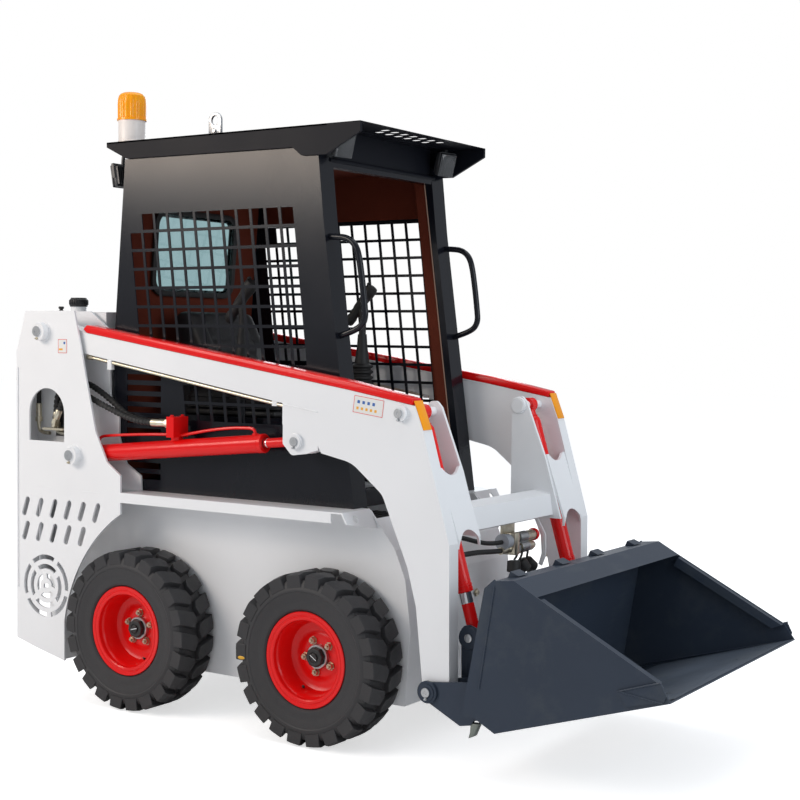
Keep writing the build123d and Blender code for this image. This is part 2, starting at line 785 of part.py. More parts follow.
# Lamps: two under the visor, one on the rear, each on a small bracket
lamps = []
lamp_height = 88
lamp_top_z = cab_top_z + 48
stem_top_z = roof_top_z - roof_plate - seat_gap
for side in (-1, 1):
    y = side * (cab_half_width - 70)
    x = cab_front_top_x + 38
    lamp = block(x, x + 38, y - 40, y + 40, lamp_top_z - lamp_height, lamp_top_z)
    lamp += block(x + 13, x + 25, y - 8, y + 8, lamp_top_z - 2, stem_top_z)
    lamps.append(lamp)
x = roof_rear_x - 20
y = -cab_half_width + 64
rear_lamp_top_z = cab_top_z - 15
rear_lamp = block(x, x + 44, y - 36, y + 36, rear_lamp_top_z - 77, rear_lamp_top_z)
rear_lamp += block(x + 28, x + 38, y - 8, y + 8, rear_lamp_top_z - 5, stem_top_z)
lamps.append(rear_lamp)
save("work_lamps", Compound(lamps))

# Beacon at the right rear corner of the roof
beacon_centre = (-547, 50 - cab_half_width)
beacon_r = 55
beacon_base = 82
dome_wall = 74
dome_crown = 30
stack = Pos(*beacon_centre, roof_top_z + seat_gap)
low = (Align.CENTER, Align.CENTER, Align.MIN)
base = stack * Cylinder(beacon_r - 4, beacon_base, align=low)
dome = Pos(0, 0, beacon_base + seat_gap) * Cylinder(beacon_r, dome_wall, align=low)
dome += Pos(0, 0, beacon_base + seat_gap + dome_wall) * Cone(beacon_r, beacon_r - 20, dome_crown, align=low)
dome = stack * dome
save("beacon", Compound([base, dome]))

# Grab handles on the front posts
handle_y = cab_half_width - 28
handle = bent_bar(
    [
        (cab_front_knee[0], -handle_y, 1718),
        (534, -handle_y, 1712),
        (552, -handle_y, 1420),
        (cab_front_knee[0] + 40, -handle_y, 1382),
    ],
    38,
    12,
)
post_face = [
    (cab_front_knee[0] + seat_gap, cab_front_knee[1]),
    (cab_front_low_x + seat_gap, deck_z),
    (cab_front_low_x - post_depth, deck_z),
    (cab_front_knee[0] - post_depth, cab_front_knee[1]),
]
handle -= slab(outline(post_face), -handle_y - 20, -handle_y + 20)
save("grab_handles", both(handle))


# Lift arm

rail_top = ((-640, 1413), (560, 1235), (820, 1183))
arm_low = ((-640, 1305), (286, 1153))
lug_rear_z = 1080


def arm_outline():
    """Face of the arm's box section in the side view."""
    x, z = arm_pin
    points = [
        (x, z - 52),
        (x - 40, z - 38),
        (x - 56, z),
        (x - 36, z + 42),
        (x + 20, z + 54),
        (rail_top[0][0], rail_top[0][1] - rail_height),
        (rail_top[1][0], rail_top[1][1] - rail_height),
        (rail_top[2][0], rail_top[2][1] - rail_height + 8),
        (850, 1085),
        (954, 726),
        (960, 270),
        (935, coupler_pin[1] - 30),
        (coupler_pin[0] - 8, coupler_pin[1] - 31),
        (coupler_pin[0] - 30, coupler_pin[1]),
        (853, 330),
        (832, 517),
        (798, 640),
        (697, 869),
        (575, 966),
        (450, 991),
        (400, lug_rear_z),
        (arm_low[1][0], lug_rear_z),
        arm_low[1],
        arm_low[0],
    ]
    return outline(points, {17: 70, 18: 120, 20: 40, 3: 30, 2: 30})


def lift_lug():
    """Two cheeks under the arm that hold the rod end of the lift cylinder."""
    x, z = lift_rod_pin
    cheek = outline([(x - 58, arm_low[1][1] - 60), (x - 58, z - 10), (x - 20, z - 48), (x + 40, z - 40), (x + 90, 1000), (x + 90, arm_low[1][1] - 60)], {2: 20})
    plates = slab(cheek, -arm_outer_y, -arm_outer_y + 8) + slab(cheek, -arm_inner_y - 8, -arm_inner_y)
    plates += pin((x, z), boss_r - 10, -arm_outer_y - 14, -arm_outer_y)
    plates += pin((x, z), 13, -arm_outer_y - 16, -arm_outer_y)
    return plates


# Cover over the tilt cylinder, from the box section to the inner leg plate, scalloped top and bottom
scallop_rise = 40             # the cut's centre outside the cover's edge
cover_profile = [
    (872, 958),
    (880, 962),
    (956, cross_low_z + 4),
    (956, cross_low_z - 26),
    (948, cross_low_z - 26),
    (948, cross_low_z + 2),
]


def arm():
    """Right arm: box section, cylinder cheeks, inner leg plate and cover."""
    face = arm_outline()
    body = slab(face, -arm_outer_y, -arm_inner_y)
    core = offset(face, -arm_wall, kind=Kind.INTERSECTION)
    body -= slab(core, -arm_outer_y + arm_wall, -arm_inner_y - arm_wall)
    gap_y = (tower_outer_y - tower_plate - side_gap, tower_inner_y + tower_plate + side_gap)
    body += pin(arm_pin, boss_r, -gap_y[0], -gap_y[1])
    body -= pin(arm_pin, main_pin_r + running_gap, -gap_y[0] - 1, -gap_y[1] + 1)
    body += lift_lug()
    tx, tz = tilt_base_pin
    body += pin(tilt_base_pin, boss_r - 9, -arm_outer_y - 16, -arm_outer_y)
    body += pin(tilt_base_pin, tilt_pin_r, -arm_outer_y - 19, -leg_lug_y + 10)
    body -= pin(coupler_pin, coupler_pin_r + running_gap, -arm_outer_y - 1, -arm_inner_y + 1)
    plate = outline(
        [(cross_rear_x - 30, cross_low_z), (tx - 28, tz + 10), (tx - 10, tz + 34), (tx + 14, tz + 34), (tx + 32, tz + 14), (882, 943), (945, cross_low_z)],
        {2: 18, 3: 18},
    )
    lug_out = leg_lug_y + leg_lug_plate
    body += slab(plate, -lug_out, -leg_lug_y)
    body += pin(tilt_base_pin, 24, -leg_lug_y, -leg_lug_y + 10)
    cover = slab(outline(cover_profile), -arm_inner_y, -lug_out)
    half_opening = (arm_inner_y - lug_out) / 2 - 16
    scallop_r = math.hypot(half_opening, scallop_rise)
    for (x, z), rise in ((cover_profile[1], scallop_rise), (cover_profile[2], -scallop_rise)):
        cover -= Pos(x, -(arm_inner_y + lug_out) / 2, z + rise) * Rot(0, 90, 0) * Cylinder(scallop_r, 80)
    body += cover
    return body


right_arm = arm()
save("arm_right", right_arm)
save("arm_left", other_side(right_arm))

rail_low = [(x, z - rail_height) for x, z in rail_top]
rail_profile = [
    (rail_top[0][0] - 18, rail_top[0][1] - rail_height + 14),
    *rail_top,
    (rail_top[2][0] + 4, rail_top[2][1] - rail_height + 9),
    (rail_low[2][0], rail_low[2][1] + 8.3),
    (rail_low[1][0], rail_low[1][1] + 0.3),
    (rail_low[0][0], rail_low[0][1] + 0.3),
]
rail = slab(outline(rail_profile), -arm_outer_y - 2, -arm_inner_y)
save("arm_rails", both(rail))

# Cross beam between the inner leg plates
beam_profile = [
    (cross_rear_x, cross_low_z + 30),
    (cross_rear_x, cross_high_z - 20),
    (cross_front_x - 75, cross_high_z),
    (cross_front_x - 12, cross_high_z - 12),
    (cross_front_x, cross_low_z + 14),
    (cross_front_x - 40, cross_low_z),
]
beam_face = outline(beam_profile)
beam_end = leg_lug_y - 0.3
beam = slab(beam_face, -beam_end, beam_end)
beam -= slab(offset(beam_face, -8, kind=Kind.INTERSECTION), -beam_end + 8, beam_end - 8)
save("cross_beam", beam)

# Steel pipes under each arm and down the back of the leg
pipe_r = 6
pipe_drop = pipe_r * 1.02 + seat_gap
pipe_ends = [(x, -arm_mid_y, z - pipe_drop) for x, z in arm_low]
pipe = rod(toward3(pipe_ends, 15), toward3(pipe_ends[::-1], 12), pipe_r)
save("arm_pipes", both(pipe))


# Quick coupler and bucket

def coupler_frame():
    """Frame between the arm and the bucket."""
    x, z = coupler_pin
    qx, qz = tilt_rod_pin
    ear = outline([(x - 26, z + 14), (x, z + 31), (back_low[0] + 8, z + 55), (back_low[0] - 6, back_low[1]), (1050, 170), (1010, 162), (x - 8, z - 30), (x - 26, z - 16)], {0: 14, 1: 14, 6: 12, 7: 12})
    outer_ear = slab(ear, -arm_outer_y - 15, -arm_outer_y - 3)
    outer_ear += pin(coupler_pin, 27, -arm_outer_y - 28, -arm_outer_y - 15)
    inner_ear = slab(ear, -arm_inner_y + 3, -arm_inner_y + 15)
    side = outer_ear + inner_ear
    side += pin(coupler_pin, coupler_pin_r, -arm_outer_y - 31, -arm_inner_y + 20)
    lug = outline([(qx - 30, qz), (qx - 10, qz + 30), (qx + 20, qz + 30), (back_knee[0] - 7, qz), (back_low[0] - 6, back_low[1]), (1000, 230)], {0: 24, 1: 20})
    for y in (-tilt_mid_y - eye_width / 2 - 14, -tilt_mid_y + eye_width / 2 + 2):
        side += slab(lug, y, y + 12)
    side += pin(tilt_rod_pin, 24, -tilt_mid_y - eye_width / 2 - 24, -tilt_mid_y - eye_width / 2 - 14)
    side += pin(tilt_rod_pin, 14, -tilt_mid_y - eye_width / 2 - 27, -tilt_mid_y - eye_width / 2 - 14)
    back = [back_low, back_knee, (back_high[0] - 7, back_high[1] - 42)]
    rear = [(px - seat_gap - 8, pz) for px, pz in back]
    front = [(px - seat_gap, pz) for px, pz in reversed(back)]
    plate = outline(rear + front)
    return side + other_side(side) + slab(plate, -505, 505)


save("quick_coupler", coupler_frame())


# Plates on each side of the bucket: flange behind the back, plate on the edge's corner, inner top rail
rear_flange = [
    (back_low[0] - 42, back_low[1] - 2),
    (back_high[0] - 34, back_high[1] - 26),
    (back_high[0], back_high[1] + 4),
    (back_high[0] + 4, back_high[1]),
    (back_knee[0] + 4, back_knee[1]),
    (back_low[0] + 6, back_low[1]),
]
corner_plate = [
    (edge_tip[0] - 165, edge_tip[1] + 14),
    (side_front[0] + 10, side_front[1] + 4),
    (edge_tip[0] - 12, edge_tip[1] + 22),
    (edge_tip[0] - 20, edge_tip[1] + 2),
    (edge_tip[0] - 135, edge_tip[1] - 28),
]
side_rail = [
    (header_front[0] + 20, header_front[1] - 12),
    (side_front[0], side_front[1] - 2),
    (side_front[0] - 34, side_front[1] - 18),
    (header_front[0] + 4, header_front[1] - 42),
]
hook_lugs = (-430, -130)


def bucket():
    """Welded bucket: floor, back, header, two sides and the cutting edge."""
    side_points = [
        back_low,
        back_knee,
        back_high,
        header_rear,
        header_front,
        side_front,
        edge_tip,
        heel,
    ]
    side = outline(side_points)
    body = slab(side, -bucket_half_width, bucket_half_width)
    inner = outline(
        [
            (back_low[0] + 10, back_low[1] + 8),
            (back_high[0] + 8, back_high[1] - 6),
            (header_rear[0], header_rear[1] - 7),
            (header_front[0] + 4, header_front[1] - 5),
            (side_front[0] + 60, side_front[1] + 200),
            (edge_tip[0] + 60, edge_tip[1] + 30),
            (edge_tip[0] - 4, edge_tip[1] + 4),
            (heel[0] + 6, heel[1] + 9),
        ]
    )
    body -= slab(inner, -bucket_half_width + bucket_plate, bucket_half_width - bucket_plate)
    trim = slab(outline(rear_flange), -bucket_half_width, -bucket_half_width + bucket_plate)
    trim += slab(outline(corner_plate), -bucket_half_width - bucket_plate, -bucket_half_width)
    trim += slab(outline(side_rail), -bucket_half_width + bucket_plate, -bucket_half_width + 30)
    for y in hook_lugs:
        lug = [(header_rear[0] - 30, header_rear[1]), (header_rear[0] - 60, header_rear[1] + 12), (header_rear[0] - 69, header_rear[1] - 8)]
        trim += slab(outline(lug), y - 30, y + 30)
    return body + trim + other_side(trim)


save("bucket", bucket())


# Cylinders

def barrel(base, rod_end, y, bore_r, eye_r, length, neck):
    """Cylinder barrel with a round end, a neck and its base eye, in the side view plane at y."""
    eye = pin(base, eye_r, y - eye_width / 2, y + eye_width / 2)
    first = toward(base, rod_end, eye_r * 0.7)
    start = toward(base, rod_end, neck)
    end = toward(base, rod_end, length)
    eye += rod((first[0], y, first[1]), (start[0], y, start[1]), eye_width / 2 - 2)
    tube = rod((start[0], y, start[1]), (end[0], y, end[1]), bore_r)
    return eye + tube + Pos(start[0], y, start[1]) * Sphere(bore_r)


def piston(base, rod_end, y, shaft_r, sleeve_r, sleeve_length, eye_r, length, inside):
    """Rod with its eye and a sleeve before it; a length of it stands inside the barrel."""
    start = toward(base, rod_end, length - inside)
    end = toward(rod_end, base, eye_r * 0.7)
    body = rod((start[0], y, start[1]), (end[0], y, end[1]), shaft_r)
    sleeve = toward(base, rod_end, length + bare_rod)
    sleeve_end = toward(base, rod_end, length + bare_rod + sleeve_length)
    body += rod((sleeve[0], y, sleeve[1]), (sleeve_end[0], y, sleeve_end[1]), sleeve_r)
    return body + pin(rod_end, eye_r, y - eye_width / 2, y + eye_width / 2)


def bored(shape, base, rod_end, y, shaft_r, length, depth):
    """Barrel with the rod's bore cut from its open end."""
    start = toward(base, rod_end, length - depth)
    end = toward(base, rod_end, length + 5)
    return shape - rod((start[0], y, start[1]), (end[0], y, end[1]), shaft_r + running_gap)


lift_y = -arm_mid_y
lift_inside = 700

# route points of the right-hand hoses, from the tower port to the fitting on the port block
hose_routes = (
    (
        (-856, -438, 1080),
        (-856, -438, 1120),
        (-840, -438, 1159),
        (-809, -439, 1188),
        (-770, -440, 1203),
        (-725, -441, 1203.5),
        (-668, -442, 1188),
        (-612, -443, 1163),
        (-548, -444, 1126),
        (-486, -445, 1086),
        (-424, -446, 1069),
        (-370, -446, 1061),
        (port_fitting_end, -446, 1061),
    ),
    (
        (-806, -470, 1090),
        (-791, -470, 1122),
        (-763, -470, 1148),
        (-727.5, -471, 1162),
        (-689, -473, 1162),
        (-575, -479, 1119),
        (-480, -483, 1088),
        (-415, -484, 1070),
        (-362, -484, 1062),
        (port_fitting_end, -484, 1062),
    ),
)


def hose(route):
    """Hose along its route, bent as gently as the runs beside each corner allow."""
    corners = [Vector(*point) for point in route]
    runs = [after - before for before, after in zip(corners, corners[1:])]
    radii = []
    for before, after in zip(runs, runs[1:]):
        half_turn = math.radians(before.get_angle(after) / 2)
        radii.append(0.45 * min(before.length, after.length) / math.tan(half_turn))
    print("hose bends", [round(radius) for radius in radii])
    path = FilletPolyline(*route, radius=radii)
    section = Plane(origin=path @ 0, z_dir=path % 0) * Circle(hose_r)
    return sweep(section, path=path)


hose_names = ("lift_hose_upper", "lift_hose_lower")
for name, route in zip(hose_names, hose_routes):
    piece = hose(route)
    save(f"{name}_right", piece)
    save(f"{name}_left", other_side(piece))

# Ports that the hoses rise from, on a shelf welded inside each tower
port_shelf = block(-884, -776, -484, -tower_inner_y - tower_plate - seat_gap, port_plate_z, port_plate_z + 8)
for route in hose_routes:
    port_shelf += rod(route[0], toward3(route, -hose_fitting_length), hose_fitting_r)
save("tower_ports", both(port_shelf))

lift_barrel = barrel(lift_base_pin, lift_rod_pin, lift_y, lift_bore_r, lift_eye_r, lift_barrel_length, lift_neck)
axis_rise = (lift_rod_pin[1] - lift_base_pin[1]) / (lift_rod_pin[0] - lift_base_pin[0])
port_low_z = lift_base_pin[1] + (port_block_x[0] - lift_base_pin[0]) * axis_rise + lift_bore_r / 2
port_sides = (lift_y - port_block_half, lift_y + port_block_half)
lift_barrel += block(*port_block_x, *port_sides, port_block_z - 74, port_block_z)
lift_barrel += block(*port_block_x, lift_y - 12, lift_y + 12, port_low_z, port_block_z - 10)
for route in hose_routes:
    x, y, z = route[-1]
    lift_barrel += rod((x, y, z), (port_block_x[0], y, z), hose_fitting_r)
lift_barrel = bored(lift_barrel, lift_base_pin, lift_rod_pin, lift_y, lift_shaft_r, lift_barrel_length, lift_inside + 10)
lift_barrel -= pin(lift_base_pin, main_pin_r + running_gap, lift_y - 60, lift_y + 60)
lift_rod = piston(lift_base_pin, lift_rod_pin, lift_y, lift_shaft_r, lift_shaft_r + 3, 118, lift_eye_r, lift_barrel_length, lift_inside)
tilt_y = -tilt_mid_y
tilt_inside = 420
tilt_barrel = barrel(tilt_base_pin, tilt_rod_pin, tilt_y, tilt_bore_r, tilt_eye_r, tilt_barrel_length, tilt_neck)
tilt_barrel = bored(tilt_barrel, tilt_base_pin, tilt_rod_pin, tilt_y, tilt_shaft_r, tilt_barrel_length, tilt_inside + 10)
tilt_barrel -= pin(tilt_base_pin, tilt_pin_r + running_gap, tilt_y - 60, tilt_y + 60)
tilt_rod = piston(tilt_base_pin, tilt_rod_pin, tilt_y, tilt_shaft_r, tilt_bore_r - 7, 110, tilt_eye_r, tilt_barrel_length, tilt_inside)
cylinder_pieces = (
    ("lift_barrel", lift_barrel),
    ("lift_rod", lift_rod),
    ("tilt_barrel", tilt_barrel),
    ("tilt_rod", tilt_rod),
)
for name, piece in cylinder_pieces:
    save(f"{name}_right", piece)
    save(f"{name}_left", other_side(piece))

# Hydraulic couplers for attachments, on a bracket under the cross beam
bracket_front_x = 846
beam_rise = (cross_front_x - 40 - bracket_front_x) / (cross_front_x - 40 - cross_rear_x)
bracket_top = cross_low_z + beam_rise * 30 - seat_gap
hanger = block(bracket_front_x - 8, bracket_front_x, 40, 130, 640, bracket_top)
hanger += block(bracket_front_x, 872, 60, 110, 650, 690)
for x, z, y0, y1 in ((862, 676, 60, 250), (862, 640, 70, 235)):
    hanger += pin((x, z), 13, y0, y1)
    hanger += pin((x, z), 19, y0 + 60, y1 - 20)
save("aux_couplers", hanger)
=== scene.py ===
import json
import math

import bpy
from mathutils import Matrix, Vector


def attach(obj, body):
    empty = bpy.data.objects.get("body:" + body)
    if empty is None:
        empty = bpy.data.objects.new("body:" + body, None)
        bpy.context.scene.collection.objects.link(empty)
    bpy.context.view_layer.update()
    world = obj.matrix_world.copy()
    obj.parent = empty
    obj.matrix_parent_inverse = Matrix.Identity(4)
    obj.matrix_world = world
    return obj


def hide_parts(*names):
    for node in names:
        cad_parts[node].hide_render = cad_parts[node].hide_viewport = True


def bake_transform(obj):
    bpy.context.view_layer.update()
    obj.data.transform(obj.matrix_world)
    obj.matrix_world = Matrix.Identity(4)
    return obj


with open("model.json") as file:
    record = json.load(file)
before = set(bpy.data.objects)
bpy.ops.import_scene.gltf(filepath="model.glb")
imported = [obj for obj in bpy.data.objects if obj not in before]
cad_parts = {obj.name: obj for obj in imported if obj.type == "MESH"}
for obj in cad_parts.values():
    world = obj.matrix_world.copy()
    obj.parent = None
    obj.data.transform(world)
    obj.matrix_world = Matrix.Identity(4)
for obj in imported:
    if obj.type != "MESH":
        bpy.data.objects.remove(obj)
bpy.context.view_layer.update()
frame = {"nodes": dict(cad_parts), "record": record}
nodes = frame["nodes"]


# Studio: the photographer's view from the machine's right front, a little over a metre
# and a half up, with the lens a touch off centre. White floor and surround, a broad
# lamp on each side and one overhead.

def view_axes(yaw, pitch, roll):
    """Right, up and back of a camera that looks along +Y turned by yaw, pitch and roll."""
    ahead = Vector((-math.sin(yaw) * math.cos(pitch), math.cos(yaw) * math.cos(pitch), -math.sin(pitch)))
    level = Vector((math.cos(yaw), math.sin(yaw), 0))
    upright = level.cross(ahead)
    right = level * math.cos(roll) + upright * math.sin(roll)
    up = upright * math.cos(roll) - level * math.sin(roll)
    return right, up, -ahead


frame_pixels = 800
lens_pixels = 1456.35
lens_centre = (404.468, 409.804)
camera_place = Vector((2.9728, -4.3879, 1.3783))
right, up, back = view_axes(math.radians(33.2176), math.radians(2.8328), math.radians(0.6127))
bpy.ops.object.select_all(action="DESELECT")
bpy.ops.object.camera_add()
camera = bpy.context.object
camera.matrix_world = Matrix((
    (right.x, up.x, back.x, camera_place.x),
    (right.y, up.y, back.y, camera_place.y),
    (right.z, up.z, back.z, camera_place.z),
    (0, 0, 0, 1),
))
camera.data.lens = lens_pixels / frame_pixels * camera.data.sensor_width
camera.data.shift_x = (frame_pixels / 2 - lens_centre[0]) / frame_pixels
camera.data.shift_y = (lens_centre[1] - frame_pixels / 2) / frame_pixels
scene = bpy.context.scene
scene.camera = camera
scene.view_settings.view_transform = "Standard"


def lamp(name, place, target, size, power, tint):
    """Soft rectangular lamp at a place, facing a target."""
    bpy.ops.object.light_add(type="AREA", location=place)
    light = bpy.context.object
    light.name = name
    light.rotation_euler = (Vector(target) - Vector(place)).to_track_quat("-Z", "Y").to_euler()
    light.data.shape = "RECTANGLE"
    light.data.size, light.data.size_y = size
    light.data.energy = power
    light.data.color = tint
    light.visible_transmission = False


lamp("side_softbox", (-3.6, -5.2, 3.5), (-0.3, 0, 1.0), (3.6, 2.4), 132, (1.0, 0.95, 0.90))
lamp("warm_strip", (-2.35, -2.77, 2.50), (-0.4, 0, 1.95), (1.9, 0.42), 16, (1.0, 0.78, 0.60))
lamp("front_softbox", (5.4, -0.6, 2.6), (0, 0, 0.9), (3.0, 3.0), 88, (0.88, 0.94, 1.0))
lamp("top_softbox", (0.2, 0.4, 5.4), (0, 0, 0.8), (4.5, 4.5), 92, (0.96, 0.98, 1.0))
lamp("rear_softbox", (-3.5, 5.0, 2.8), (0, 0, 1.0), (3.0, 3.0), 60, (0.92, 0.96, 1.0))


def linked(tree, node, inputs):
    """Set a node's inputs, each from a (node, output) or to a plain value."""
    for socket, source in inputs.items():
        if isinstance(source, tuple) and isinstance(source[0], bpy.types.Node):
            tree.links.new(source[0].outputs[source[1]], node.inputs[socket])
        else:
            node.inputs[socket].default_value = source
    return node


def wired(tree, kind, inputs, **settings):
    """New shader node with its settings and inputs."""
    made = tree.nodes.new("ShaderNode" + kind)
    for label, value in settings.items():
        setattr(made, label, value)
    return linked(tree, made, inputs)


def white_to_the_eye(tree, lit, white):
    """Shader that is plain white where the camera sees it and lit elsewhere."""
    rays = wired(tree, "LightPath", {})
    return wired(tree, "MixShader", {"Fac": (rays, "Is Camera Ray"), 1: (lit, 0), 2: (white, 0)})


plain_white = (1, 1, 1, 1)
world = bpy.data.worlds.new("surround")
scene.world = world
world.use_nodes = True
sky = world.node_tree
ambient = linked(sky, sky.nodes["Background"], {"Color": (0.90, 0.94, 1.0, 1), "Strength": 0.50})
backdrop = wired(sky, "Background", {"Color": plain_white})
linked(sky, sky.nodes["World Output"], {"Surface": (white_to_the_eye(sky, ambient, backdrop), 0)})

# The floor glows a little toward the camera, so that only the machine's shadow shows on it
bpy.ops.object.select_all(action="DESELECT")
bpy.ops.mesh.primitive_plane_add(size=60)
floor = bpy.context.object
floor.name = "studio_floor"
floor_paint = bpy.data.materials.new("studio_floor")
floor_paint.use_nodes = True
tree = floor_paint.node_tree
tree.nodes.remove(tree.nodes["Principled BSDF"])
matt = wired(tree, "BsdfDiffuse", {"Color": (0.84, 0.84, 0.84, 1)})
glow = wired(tree, "Emission", {"Color": plain_white, "Strength": 0.62})
glowing = wired(tree, "AddShader", {0: (matt, 0), 1: (glow, 0)})
linked(tree, tree.nodes["Material Output"], {"Surface": (white_to_the_eye(tree, matt, glowing), 0)})
floor.data.materials.append(floor_paint)


# Surface effects that several finishes share, as node groups: the soft unevenness of
# sprayed paint, with fine orange peel and dust that settles toward the ground, and the
# fine streaks where a surface rubs.

def new_group(name, inputs, outputs):
    """Node group with (name, kind, value) inputs and (name, kind) outputs."""
    group = bpy.data.node_groups.new(name, "ShaderNodeTree")
    for label, kind, value in inputs:
        socket = group.interface.new_socket(label, in_out="INPUT", socket_type=kind)
        socket.default_value = value
    for label, kind in outputs:
        group.interface.new_socket(label, in_out="OUTPUT", socket_type=kind)
    return group, group.nodes.new("NodeGroupInput"), group.nodes.new("NodeGroupOutput")


def noise(tree, scale, detail, roughness=0.5):
    """Noise that lies on the piece, in the model's metres."""
    place = wired(tree, "TexCoord", {})
    return wired(tree, "TexNoise", {"Vector": (place, "Object"), "Scale": scale, "Detail": detail,
                                    "Roughness": roughness})


def remapped(tree, source, low, high, to_low, to_high):
    """Value carried from one range to another."""
    return wired(tree, "MapRange", {"Value": source, "From Min": low, "From Max": high, "To Min": to_low,
                                    "To Max": to_high})


def maths(tree, operation, *values, **settings):
    """Arithmetic on links or plain values."""
    return wired(tree, "Math", dict(enumerate(values)), operation=operation, **settings)


colour, number, direction = "NodeSocketColor", "NodeSocketFloat", "NodeSocketVector"

# Paint film: broad tone drift, dust near the ground and a fine orange-peel bump
film, film_in, film_out = new_group(
    "paint_film",
    [("Base", colour, (1, 1, 1, 1)), ("Drift", number, 0.06), ("Roughness", number, 0.3),
     ("Peel", number, 0.04), ("Dust", number, 0.3), ("Dust colour", colour, (0.30, 0.26, 0.21, 1))],
    [("Color", colour), ("Roughness", number), ("Normal", direction)],
)
spread = remapped(film, (noise(film, 2.3, 3.0, 0.55), "Fac"), 0.3, 0.7, -1.0, 1.0)
drifted = maths(film, "MULTIPLY_ADD", (spread, "Result"), (film_in, "Drift"), 1.0)
toned = wired(film, "VectorMath", {0: (film_in, "Base"), "Scale": (drifted, 0)}, operation="SCALE")
height = wired(film, "SeparateXYZ", {0: (wired(film, "TexCoord", {}), "Object")})
low = remapped(film, (height, "Z"), 0.9, 0.1, 0.0, 1.0)
settled = maths(film, "MULTIPLY", (low, "Result"), (noise(film, 38.0, 6.0, 0.7), "Fac"))
dusty = maths(film, "MULTIPLY", (settled, 0), (film_in, "Dust"), use_clamp=True)
mixed = wired(film, "Mix", {"Factor": (dusty, 0), 6: (toned, 0), 7: (film_in, "Dust colour")},
              data_type="RGBA")
rough = maths(film, "MULTIPLY_ADD", (dusty, 0), 0.5, (film_in, "Roughness"), use_clamp=True)
haze = maths(film, "MULTIPLY_ADD", (spread, "Result"), 0.04, (rough, 0), use_clamp=True)
peel = noise(film, 190.0, 2.0, 0.4)
bumped = wired(film, "Bump", {"Distance": 0.002, "Strength": (film_in, "Peel"), "Height": (peel, "Fac")})
linked(film, film_out, {"Color": (mixed, 2), "Roughness": (haze, 0), "Normal": (bumped, "Normal")})

# Scuffs: thin streaks where a surface rubs, as a mask
scuffs, scuffs_in, scuffs_out = new_group(
    "scuff_streaks",
    [("Stretch", direction, (4.0, 40.0, 40.0)), ("Amount", number, 0.5)],
    [("Mask", number)],
)
place = wired(scuffs, "TexCoord", {})
stretched = wired(scuffs, "VectorMath", {0: (place, "Object"), 1: (scuffs_in, "Stretch")},
                  operation="MULTIPLY")
streaks = wired(scuffs, "TexNoise", {"Vector": (stretched, 0), "Scale": 1.0, "Detail": 8.0,
                                     "Roughness": 0.72})
worn = maths(scuffs, "MULTIPLY", (streaks, "Fac"), (noise(scuffs, 5.0, 3.0), "Fac"))
sharp = remapped(scuffs, (worn, 0), 0.24, 0.36, 0.0, 1.0)
share = maths(scuffs, "MULTIPLY", (sharp, "Result"), (scuffs_in, "Amount"), use_clamp=True)
linked(scuffs, scuffs_out, {"Mask": (share, 0)})

slot_of = {}                  # the record's slot that each finish stands on


def finish_of(name, slot, roughness, metallic=0.0, coat=0.0, specular=0.5):
    """New material whose constants sit on its own shader; returns it with its tree and shader."""
    made = bpy.data.materials.new(name)
    slot_of[made.name] = slot
    made.use_nodes = True
    shader = linked(made.node_tree, made.node_tree.nodes["Principled BSDF"], {
        "Roughness": roughness, "Metallic": metallic, "Coat Weight": coat, "Coat Roughness": 0.12,
        "Specular IOR Level": specular,
    })
    return made, made.node_tree, shader


def painted(name, base, roughness, drift, peel, dust, metallic=0.0, coat=0.0, specular=0.5, slot=None):
    """Painted, plated or moulded finish from the paint film group; its slot is its name if none is given."""
    made, tree, shader = finish_of(name, name if slot is None else slot, roughness, metallic, coat, specular)
    group = wired(tree, "Group", {"Base": (*base, 1), "Roughness": roughness, "Drift": drift, "Peel": peel,
                                  "Dust": dust}, node_tree=film)
    linked(tree, shader, {"Base Color": (group, "Color"), "Roughness": (group, "Roughness"),
                          "Normal": (group, "Normal")})
    return made


def scuffed(material, worn_colour, amount, stretch, shine):
    """Adds rubbed streaks of another colour and roughness over a painted finish."""
    tree = material.node_tree
    shader = tree.nodes["Principled BSDF"]
    mask = wired(tree, "Group", {"Stretch": stretch, "Amount": amount}, node_tree=scuffs)
    film_used = shader.inputs["Base Color"].links[0].from_node
    tone = wired(tree, "Mix", {0: (mask, "Mask"), 6: (film_used, "Color"), 7: (*worn_colour, 1)},
                 data_type="RGBA")
    polish = wired(tree, "Mix", {0: (mask, "Mask"), 2: (film_used, "Roughness"), 3: shine}, data_type="FLOAT")
    linked(tree, shader, {"Base Color": (tone, 2), "Roughness": (polish, 0)})


white_paint = painted("white_paint", (0.85, 0.86, 0.875), 0.33, 0.02, 0.05, 0.05, coat=0.15)
red_paint = painted("red_paint", (0.78, 0.006, 0.006), 0.20, 0.04, 0.05, 0.0, specular=0.32)
cab_paint = painted("cab_paint", (0.007, 0.008, 0.012), 0.19, 0.08, 0.06, 0.0, specular=0.28)
bucket_paint = painted("bucket_paint", (0.032, 0.044, 0.066), 0.36, 0.08, 0.08, 0.02, specular=0.22)
lining_paint = painted("lining_paint", (0.122, 0.024, 0.012), 0.75, 0.12, 0.45, 0.0, specular=0.12)
tyre_rubber = painted("tyre_rubber", (0.034, 0.034, 0.037), 0.48, 0.12, 0.30, 0.06, specular=0.3)
black_plastic = painted("black_plastic", (0.014, 0.014, 0.015), 0.42, 0.05, 0.15, 0.03)
soft_rubber = painted("soft_rubber", (0.012, 0.012, 0.012), 0.58, 0.05, 0.18, 0.05, slot="black_rubber")
zinc_plate = painted("zinc_plate", (0.70, 0.65, 0.52), 0.32, 0.15, 0.05, 0.05, 1.0, slot="zinc_steel")
bare_steel = painted("bare_steel", (0.50, 0.51, 0.52), 0.34, 0.10, 0.05, 0.05, 1.0, slot="zinc_steel")
